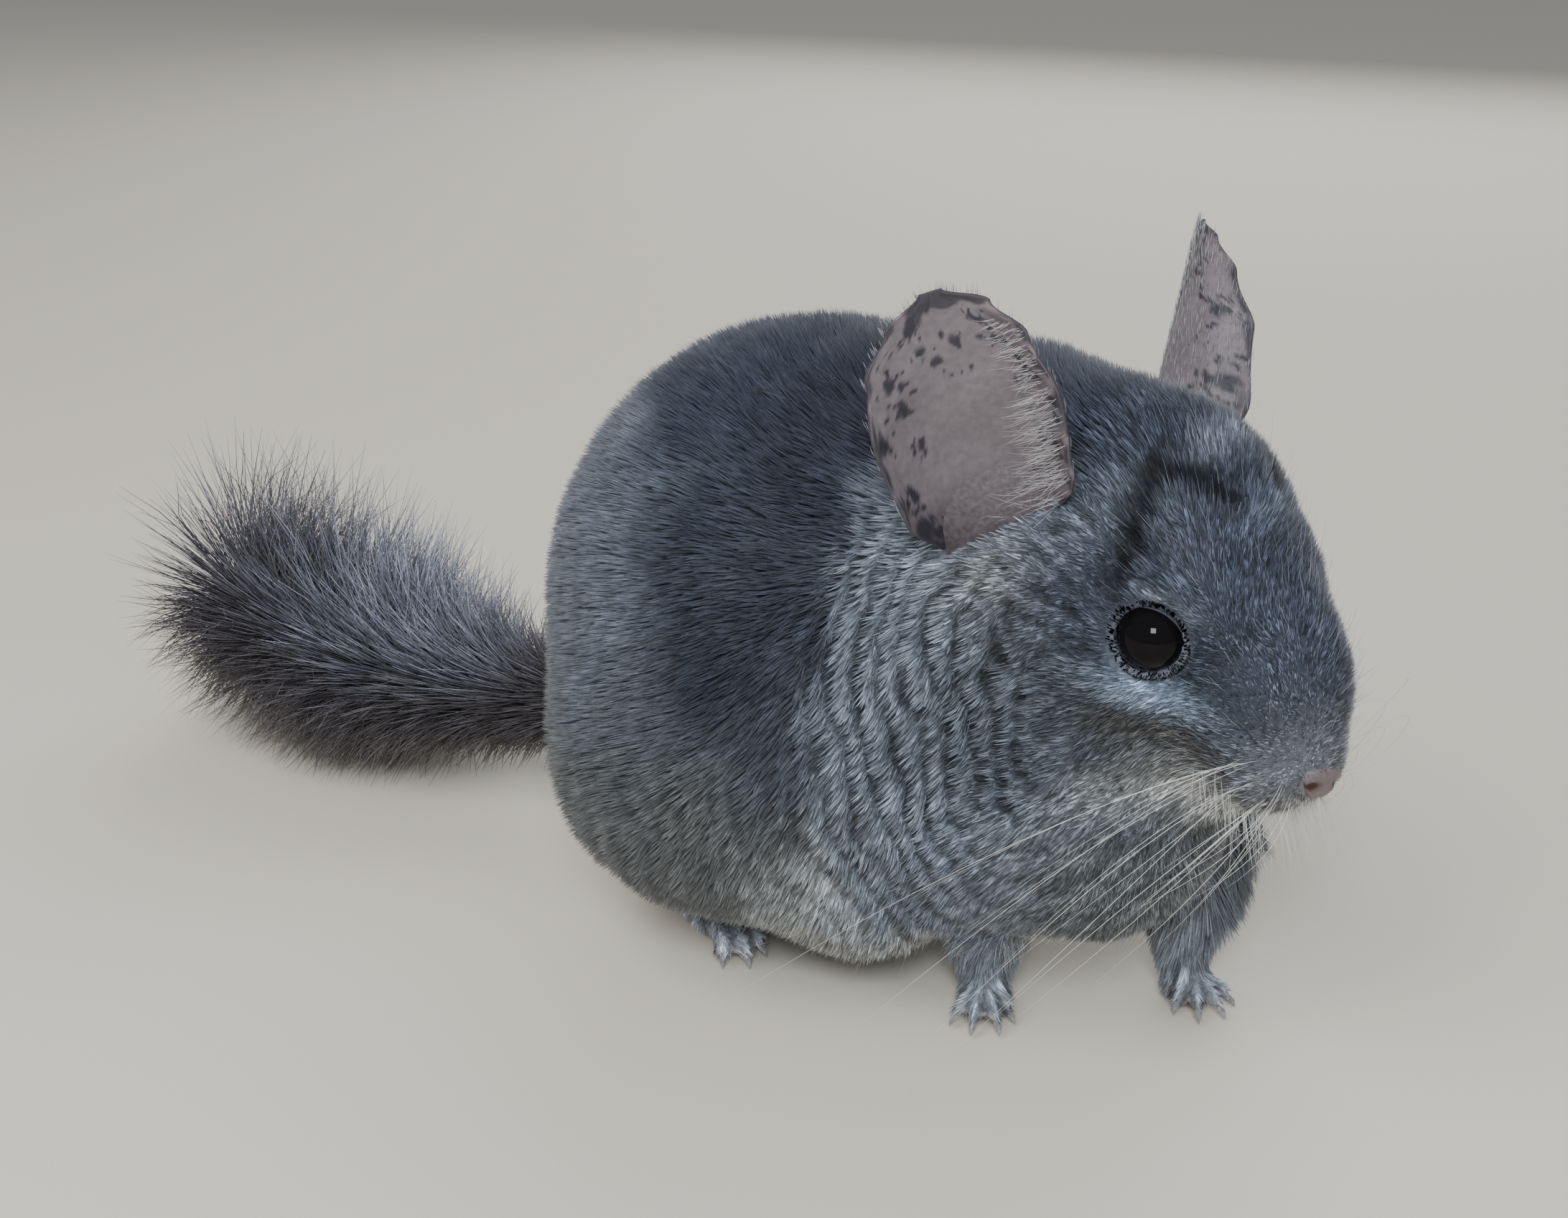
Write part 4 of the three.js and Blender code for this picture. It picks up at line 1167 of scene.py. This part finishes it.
# %% Hairs on the ears
EDGE_HAIRS = 460
BACK_DOWN = 1400
for name, (side, root_side, lean) in EARS.items():
    along, opening, across = ear_axes(side, lean)
    count = EDGE_HAIRS
    height = draw.uniform(0.02, 0.86, count)
    front = draw.uniform(0.6, 1.0, count)
    roots = ear_point(side, root_side, lean, height, front * -side, np.full(count, EAR_THICKNESS / 2))
    inward = 0.9 + draw.normal(0, 0.25, (count, 1))
    sweep = unit(across * side * inward + opening * 0.25 + along * draw.uniform(-0.3, 0.35, (count, 1)))
    lengths = draw.uniform(3, 10, count) * (1.2 - height)
    paths = arcs(roots, sweep, lengths, along * 0.12 + draw.normal(0, 0.1, (count, 3)), 5)
    pale = linear(186, 184, 186) * draw.uniform(0.75, 1.15, (count, 1))
    flat = np.stack([front * 0.5 + 0.5, height], 1)
    thin_hairs(name.replace("ear", "ear_hair"), from_head(paths), 0.042, pale, flat=flat)
    count = BACK_DOWN
    height = draw.uniform(-0.02, 0.99, count)
    spread = draw.uniform(-1, 1, count)
    roots = ear_point(side, root_side, lean, height, spread, np.full(count, -EAR_THICKNESS / 2))
    outward = unit(-opening[None] * 0.5 + across[None] * spread[:, None] * 0.7)
    paths = arcs(roots, unit(along + outward * 0.45), draw.uniform(1.5, 3.2, count), -outward * 0.2, 3)
    down = linear(150, 150, 154) * draw.uniform(0.6, 1.3, (count, 1))
    flat = np.stack([spread * 0.5 + 0.5, np.clip(height, 0, 1)], 1)
    thin_hairs(name.replace("ear", "ear_down"), from_head(paths), 0.06, down, flat=flat)

# %% [markdown]
# ## The eyes
# The eye is a wet black ball that fills its socket, with a thin grey lid round it that is slightly pointed
# fore and aft. No white shows. The ball is a plain sphere and the lid a bent ring that lies on it.

# %% Eyeballs and lids
eye_finish, eye_tree, eye_shader = new_material("wet_eye")
facing = eye_tree.nodes.new("ShaderNodeTexCoord")
iris = eye_tree.nodes.new("ShaderNodeTexNoise")
iris.inputs["Scale"].default_value = 260
iris_ramp = eye_tree.nodes.new("ShaderNodeValToRGB")
iris_ramp.color_ramp.elements[0].color = (0.002, 0.002, 0.003, 1)
iris_ramp.color_ramp.elements[1].color = (0.005, 0.004, 0.004, 1)
eye_tree.links.new(facing.outputs["Object"], iris.inputs["Vector"])
eye_tree.links.new(iris.outputs["Fac"], iris_ramp.inputs["Fac"])
eye_tree.links.new(iris_ramp.outputs["Color"], eye_shader.inputs["Base Color"])
set_inputs(eye_shader, Roughness=0.04, Specular_IOR_Level=0.1)

for side, name in ((-1, "eye_right"), (1, "eye_left")):
    bpy.ops.object.select_all(action="DESELECT")
    centre = from_head(np.array([[0, side * EYE_SIDE, 0]]))[0] * MM
    bpy.ops.mesh.primitive_uv_sphere_add(segments=64, ring_count=40, radius=EYE_RADIUS * MM, location=centre)
    ball = bpy.context.object
    ball.name = name.replace("eye", "eyeball")
    bpy.ops.object.transform_apply(location=True)
    bpy.ops.object.shade_smooth()
    ball.data.materials.append(eye_finish)
    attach(ball, "root")
    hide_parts(name)

LID_OPENING = 5.8
for side, name in ((-1, "lid_right"), (1, "lid_left")):
    turns = np.linspace(0, 2 * math.pi, 72, endpoint=False)
    ring = np.linspace(0, 2 * math.pi, 12, endpoint=False)
    t, q = np.meshgrid(turns, ring, indexing="ij")
    opening = LID_OPENING + 0.5 * np.abs(np.cos(t)) ** 4 - 0.2 * np.abs(np.sin(t)) ** 3
    lid_width = 0.22 + 0.02 * np.sin(t * 9)
    radius = opening + lid_width * (1 + np.cos(q))
    ball_height = np.sqrt(np.maximum(EYE_RADIUS**2 - np.minimum(radius, 6.1) ** 2, 0.2))
    out = ball_height + 0.15 + 0.3 * np.sin(q) - 0.2 * ramp(radius, 5.6, 6.4)
    gaze = gaze_of(side)
    fore = unit(np.array([1.0, 0, 0]) - gaze * gaze[0])
    top = np.cross(fore, gaze) * -side
    ahead, upward = radius * np.cos(t), radius * np.sin(t)
    points = gaze * out[..., None] + fore * ahead[..., None] + top * upward[..., None]
    points = points + [0, side * EYE_SIDE, 0]
    at = np.arange(t.size).reshape(t.shape)
    after = np.roll(at, -1, 0)
    triangles = quads(at, after, np.roll(after, -1, 1), np.roll(at, -1, 1))
    if side < 0:
        triangles = triangles[:, ::-1]
    base = painted(linear(58, 59, 67), t.size)
    corner_pink = ramp(np.cos(t).ravel(), 0.9, 1.0)
    colours = blend_to(base, linear(120, 98, 98), corner_pink * 0.6)
    mesh_object(name, from_head(points.reshape(-1, 3)), triangles, bare_finish, colours=colours)

# %% [markdown]
# ## Nose and lips
# The nose pad is a small bare patch with two comma-shaped nostrils and a cleft that runs down to the lip. It
# is cast onto the skin from inside the head, raised a little at its rim and pressed in at the nostrils.

# %% Nose pad
bpy.context.view_layer.update()
skin_tree = BVHTree.FromObject(skin, bpy.context.evaluated_depsgraph_get())
skull = from_head(SKULL[None])[0]


def on_skin(points, lift=0.0):
    """Points in the head's frame moved on the ray from the skull's middle to the skin, and raised by lift."""
    flat = from_head(points).reshape(-1, 3)
    found = []
    for point in flat:
        ray = Vector(point - skull).normalized()
        hit = skin_tree.ray_cast(Vector(skull * MM), ray)[0]
        found.append(np.array(hit) / MM if hit is not None else point)
    found = np.array(found)
    ray = unit(found - skull)
    lift = np.broadcast_to(np.asarray(lift, float).reshape(-1, 1), (len(found), 1))
    return found + ray * lift


PAD_ROWS, PAD_COLUMNS = 46, 56
v, w = np.meshgrid(np.linspace(-1, 1, PAD_ROWS), np.linspace(-1, 1, PAD_COLUMNS), indexing="ij")
pad_side = w * (5.1 - 2.0 * np.maximum(-v, 0))
pad_height = NOSE_HEIGHT + v * 3.3
guess = np.stack([np.full_like(v, 36.0), pad_side + NOSE_SIDE, pad_height], -1)
edge = ramp(1 - np.maximum(np.abs(v) ** 3 + np.abs(w) ** 3, 0), 0, 0.5)
nostril = np.zeros_like(v)
for side in (-1, 1):
    slope = (pad_height - NOSE_HEIGHT + 0.1) + (side * pad_side - 3.1) * 0.28
    reach = (side * pad_side - 3.1) / 1.7
    nostril = np.maximum(nostril, np.exp(-((slope / 0.8) ** 2) - reach**2 * 1.2))
cleft = np.exp(-((pad_side / 0.35) ** 2)) * ramp(NOSE_HEIGHT - pad_height, 0.8, 2.6)
raised = 1.25 * edge - 0.35 - 0.75 * nostril - 0.3 * cleft
top = on_skin(guess, raised).reshape(PAD_ROWS, PAD_COLUMNS, 3)
under = on_skin(guess, -2.6).reshape(PAD_ROWS, PAD_COLUMNS, 3)
points = np.concatenate([top.reshape(-1, 3), under.reshape(-1, 3)])
pink = painted(linear(100, 89, 91), v.size)
pink = blend_to(pink, linear(112, 110, 115), (1 - edge).ravel())
# The nostrils are painted dark: painted shade in their openings.
pink = blend_to(pink, linear(52, 24, 22), np.clip(nostril.ravel() * 1.5, 0, 1))
pink = blend_to(pink, linear(120, 92, 92), cleft.ravel() * 0.7)
faces = sheet_faces(PAD_ROWS, PAD_COLUMNS)
mesh_object("nose_pad", points, faces, bare_finish, np.concatenate([pink, pink]))

# %% [markdown]
# ## Whiskers
# Long stiff white hairs stand in rows on the muzzle and sweep back, out and down, some longer than the head.
# Each row of the list is one whisker: its root, the way it starts, the way it is bent and how far it reaches.
# It is grown twice on each side, with a little chance in it.

# %% Whiskers
WHISKERS = [
    ((27, 12, -9), (-0.13, 1.0, 0.27), (-0.18, -0.49, -1.07), 119),
    ((25, 12.5, -10), (-0.02, 1.06, 0.22), (-0.2, -0.52, -1.03), 111),
    ((28, 11.5, -12), (-0.05, 1.14, 0.45), (-0.12, -0.59, -1.27), 108),
    ((24, 12.5, -13.5), (0.17, 1.2, 0.26), (-0.3, -0.59, -1.05), 92),
    ((29, 10.5, -14), (0.12, 1.34, 0.31), (-0.21, -0.7, -1.07), 78),
    ((27, 11, -16), (0.2, 1.2, 0.0), (-0.33, -0.6, -0.9), 62),
    ((30, 9.5, -16.5), (0.3, 1.1, -0.2), (-0.31, -0.7, -0.8), 46),
    ((28, 10, -18), (-0.1, 0.7, -0.5), (-0.16, -0.4, -0.5), 36),
    ((32, 7, -18), (0.14, 0.5, -0.7), (-0.18, -0.3, -0.4), 26),
    ((23, 13, -12), (-0.3, 0.9, -0.1), (-0.2, -0.4, -0.9), 60),
    ((31, 9.5, -11), (0.35, 1.0, 0.0), (-0.5, -0.3, -0.6), 40),
    ((33, 7, -15), (0.5, 0.8, -0.3), (-0.5, -0.3, -0.5), 28),
]
roots, starts, bends, reaches = [], [], [], []
for (x, y, z), start, bend, reach in WHISKERS:
    for side in (-1, 1):
        for copy in range(2):
            jitter = draw.normal(0, 0.035, 3)
            roots.append(np.array([x, side * y, z]) + draw.normal(0, 0.45, 3))
            starts.append((np.array(start) + jitter) * [1, side, 1])
            bends.append(np.array(bend) * [1, side, 1] + draw.normal(0, 0.03, 3))
            shorter = 0.85 if side > 0 else 0.96
            reaches.append(reach * shorter * (1 if copy == 0 else draw.uniform(0.45, 0.8)))
roots = to_head(on_skin(np.array(roots), -0.2))
paths = from_head(arcs(roots, np.array(starts), reaches, np.array(bends), 14))
paths[:, :, 2] = np.maximum(paths[:, :, 2], 1.0)
white = painted(linear(200, 199, 196), len(paths))
thin_hairs("whiskers", paths, 0.048, white, sides=5)
print("whiskers", len(paths))

# %% [markdown]
# ## Lips, chin and guard hairs
# Short white hairs hang over the lips and chin and soften the mouth. Single guard hairs stand past the coat
# of head and trunk and break their outline.

# %% Short hairs of the lips and chin
LIP_HAIRS = 230
count = LIP_HAIRS
around = draw.uniform(-1, 1, count)
roots = np.stack(
    [np.interp(np.abs(around), [0, 1], [34, 20]), around * 13, draw.uniform(-24, -16, count)], 1
)
roots = to_head(on_skin(roots, 0.0))
downward = unit(np.array([0.2, 0, -1.0]) @ HEAD_AXES)
spray = np.stack([draw.normal(0.25, 0.15, count), around * 0.5, draw.normal(0, 0.1, count)], 1)
starts = unit(downward + spray)
bends = downward * 0.35 + draw.normal(0, 0.06, (count, 3))
lengths = draw.uniform(3.5, 13, count) * np.interp(np.abs(around), [0, 0.5, 1], [1.0, 1.0, 0.6])
pale = linear(205, 206, 206) * draw.uniform(0.7, 1.1, (count, 1))
thin_hairs("lip_hairs", from_head(arcs(roots, starts, lengths, bends, 5)), 0.04, pale)

# %% Guard hairs
guard_share = np.interp(middle_to_head[:, 0], [-60, -30, 0, 30], [0.015, 0.015, 0.06, 0.14])
roots, normals, legs = scatter((1 - face_legs) * guard_share)
keep = eye_distance(roots) > EYE_RADIUS + 3
roots, normals, legs = roots[keep], normals[keep], legs[keep]
starts = unit(lie_of(roots, normals, legs) * 0.75 + normals * 0.85 + draw.normal(0, 0.15, roots.shape))
lengths = np.interp(to_head(roots)[:, 0], [-50, 0, 30], [7, 6.5, 5]) * draw.uniform(0.7, 1.2, len(roots))
bends = lie_of(roots, normals, legs) * 0.25 - normals * 0.1
pale = linear(160, 165, 174) * draw.uniform(0.3, 1.0, (len(roots), 1))
pale = pale * np.interp(to_head(roots)[:, :1], [-40, -20], [0.45, 1.0])
paths = arcs(roots, starts, lengths, bends, 4)
paths[:, :, 2] = np.maximum(paths[:, :, 2], 0.5)
thin_hairs("guard_hairs", paths, 0.035, pale)

# %% [markdown]
# ## The tail
# The tail is a slim core with a bush of hair. Short hairs at its base lie along it, and long springy ones
# further out stand up and fan round its end. Tufts as on the coat would be too stiff for those, so each hair
# is a tapered tube of four rings that can bend. It is darker than the body, with pale hairs here and there.

# %% Tail core
TAIL_POINTS = np.array(
    [(-96, 5, 42), (-126, 3, 29), (-152, -1, 24), (-178, -6, 22), (-212, -12, 24), (-240, -16, 34)], float
)


def tail_at(share):
    """A point of the core and its direction, share 0 at the body and 1 at the end, in the body's frame."""
    share = np.asarray(share, float)
    gaps = np.linalg.norm(np.diff(TAIL_POINTS, axis=0), axis=1)
    places = np.concatenate([[0], np.cumsum(gaps)]) / gaps.sum()
    fine = np.linspace(0, 1, 60)
    line = np.stack([np.interp(fine, places, TAIL_POINTS[:, i]) for i in range(3)], 1)
    for _ in range(30):
        line[1:-1] = (line[:-2] + line[2:]) / 2 * 0.5 + line[1:-1] * 0.5
    point = np.stack([np.interp(share, fine, line[:, i]) for i in range(3)], -1)
    slope = np.gradient(line, axis=0)
    return point, unit(np.stack([np.interp(share, fine, slope[:, i]) for i in range(3)], -1))


def tail_frame(share, angle):
    point, along = tail_at(share)
    side = unit(np.cross(along, np.array([0, 0, 1.0])))
    top = np.cross(side, along)
    out = top * np.cos(angle)[..., None] + side * np.sin(angle)[..., None]
    return point, along, out


CORE_ROWS, CORE_SIDES = 40, 20
share, angle = np.meshgrid(
    np.linspace(0.0, 1, CORE_ROWS), np.linspace(0, 2 * math.pi, CORE_SIDES, endpoint=False), indexing="ij"
)
point, along, out = tail_frame(share, angle)
core_radius = np.interp(share, [0, 0.2, 0.6, 0.9, 0.97, 1], [6, 6.5, 5, 4, 2.5, 0.3])
points = (point + out * core_radius[..., None]).reshape(-1, 3)
at = np.arange(share.size).reshape(share.shape)
after = np.roll(at, -1, 1)
faces = quads(at[:-1], after[:-1], after[1:], at[1:])
first, last = len(points), len(points) + 1
points = np.concatenate([points, tail_at(np.array([0.0, 1.0]))[0]])
fan = [[first, after[0, i], at[0, i]] for i in range(CORE_SIDES)]
fan += [[last, at[-1, i], after[-1, i]] for i in range(CORE_SIDES)]
dark = painted(linear(52, 50, 54), len(points))
faces = np.concatenate([faces, np.array(fan)])[:, ::-1]
mesh_object("tail_core", from_body(points), faces, skin_finish, dark)

# %% Tail hair
TAIL_HAIRS = 14000
TAIL_RINGS = 4
share = draw.beta(1.7, 1.0, TAIL_HAIRS) * 0.995
angle = draw.uniform(0, 2 * math.pi, TAIL_HAIRS)
point, along, out = tail_frame(share, angle)
under = (1 - np.cos(angle)) / 2
shorter_below = np.interp(share, [0.5, 0.8], [0.46, 0.3])
reach = np.interp(share, [0, 0.3, 0.5, 0.75, 1], [15, 22, 36, 60, 62]) * (1 - shorter_below * under)
reach = reach * (1 - 0.27 * np.abs(np.sin(angle)) * ramp(share, 0.4, 0.8))
reach = reach * draw.uniform(0.5, 1.06, TAIL_HAIRS)
lean = np.interp(share, [0, 0.3, 0.5, 0.7, 0.86, 0.95, 1], [26, 48, 76, 102, 108, 84, 46])
lean = np.radians(lean * (1.05 - 0.22 * under) * draw.uniform(0.75, 1.25, TAIL_HAIRS))
end = ramp(share, 0.62, 0.85)
lean = lean + np.radians(draw.normal(0, 12, TAIL_HAIRS)) * (1 - end)
lean = lean + (np.radians(draw.uniform(35, 145, TAIL_HAIRS)) - lean) * end
reach = reach * (1 - 0.4 * ramp(lean, math.radians(85), math.radians(135)) * end)
bend = np.radians(draw.normal(4, 28 + 16 * end))
radius = np.interp(share, [0, 0.2, 0.6, 0.9, 1], [6, 6.5, 5, 4, 0.5])
swirl = np.cross(along, out) * draw.normal(0, 0.32, (TAIL_HAIRS, 1))
steps = []
place = point + out * (radius - 0.6)[:, None]
for step in range(TAIL_RINGS):
    steps.append(place)
    now = lean - bend * step / (TAIL_RINGS - 1)
    heading = along * np.cos(now)[:, None] + out * np.sin(now)[:, None] + swirl
    place = place + unit(heading) * (reach / (TAIL_RINGS - 1))[:, None]
steps = np.stack(steps, 1)
clump_share = [0, 0.08, 0.18, 0.3]
tail_locks = lock_of(point + out * radius[:, None] * 2, 3.2)
for step in range(1, TAIL_RINGS):
    steps[:, step] = gather(steps[:, step], tail_locks, clump_share[step])
steps = from_body(steps)
steps[:, :, 2] = np.maximum(steps[:, :, 2], 0.5)
TAIL_DARK = linear(41, 38, 41)
TAIL_PALE = linear(84, 88, 100)
TAIL_BROWN = linear(58, 54, 52)
upper = ramp(np.cos(angle), 0.2, 0.95) * ramp(share, 0.2, 0.5) * (1 - 0.75 * ramp(share, 0.6, 0.85))
hue = blend_to(painted(TAIL_DARK, TAIL_HAIRS), TAIL_PALE, upper * 0.7)
hue = blend_to(hue, TAIL_BROWN, ramp(-np.cos(angle), 0.1, 0.8) * 0.7)
pale_hair = draw.uniform(size=TAIL_HAIRS) > 0.8
hue = hue * np.where(pale_hair, 2.3, np.clip(1 + draw.normal(0, 0.2, TAIL_HAIRS), 0.5, 1.5))[:, None]
flat = np.stack([angle / (2 * math.pi), share], 1)
thickness = draw.uniform(0.11, 0.23, TAIL_HAIRS)
for number, part in enumerate(np.array_split(np.argsort(angle), 2)):
    tail_part = hairs(
        f"tail_hair_{number + 1}", steps[part], thickness[part], hue[part], coat_finish,
        sides=3, tint_tips=2.9, flat=flat[part],
    )
    if number == 0:
        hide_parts("tail_base", "tail_mid", "tail_tip")

# %% [markdown]
# ## Claws
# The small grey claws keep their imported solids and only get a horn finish.

# %% Claws
CLAW_GREY = np.array([0.2, 0.195, 0.2])
for name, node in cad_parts.items():
    if name.startswith("claw"):
        set_tint(node.data, painted(CLAW_GREY, len(node.data.vertices)))
        node.data.materials.clear()
        node.data.materials.append(claw_finish)

# %% [markdown]
# ## Floor and light
# The animal stands on a plain pale floor under a broad soft lamp, as in a studio. A weaker lamp fills its
# front, one from behind lights its far side, and a small one puts the bright spot in the eye.

# %% Stage
bpy.ops.object.select_all(action="DESELECT")
bpy.ops.mesh.primitive_plane_add(size=6, location=(0, 0, -0.0002))
floor = bpy.context.object
floor.name = "floor"
floor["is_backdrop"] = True
floor_finish, floor_tree, floor_shader = new_material("pale_floor")
set_inputs(floor_shader, Base_Color=(0.56, 0.52, 0.45, 1), Roughness=0.7)
floor.data.materials.append(floor_finish)


def soft_lamp(name, place, target, size, power, colour):
    data = bpy.data.lights.new(name, "AREA")
    data.size = size
    data.energy = power
    data.color = colour
    lamp = put(bpy.data.objects.new(name, data))
    lamp.location = place
    lamp.rotation_euler = (Vector(place) - Vector(target)).to_track_quat("Z", "Y").to_euler()
    lamp.visible_glossy = size < 0.4


soft_lamp("key", (-0.05, -0.75, 1.0), (0.03, 0, 0.07), 0.7, 10.5, (1.0, 0.985, 0.96))
soft_lamp("fill", (0.9, -0.6, 0.6), (0, 0, 0.07), 1.2, 3.5, (1.0, 0.98, 0.95))
soft_lamp("rim", (-0.3, 0.9, 0.7), (0, 0, 0.07), 1.2, 11, (0.97, 0.985, 1.0))
soft_lamp("spark", (0.44, -0.5, 0.53), (0.14, -0.02, 0.09), 0.2, 5, (0.9, 0.96, 1.0))
world = bpy.data.worlds.new("studio")
world.use_nodes = True
set_inputs(world.node_tree.nodes["Background"], Color=(0.84, 0.87, 0.92, 1), Strength=0.44)
bpy.context.scene.world = world

# %% Finish
low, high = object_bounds()
total = sum(len(o.data.polygons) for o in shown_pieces() if o.type == "MESH")
print("faces in all", total)
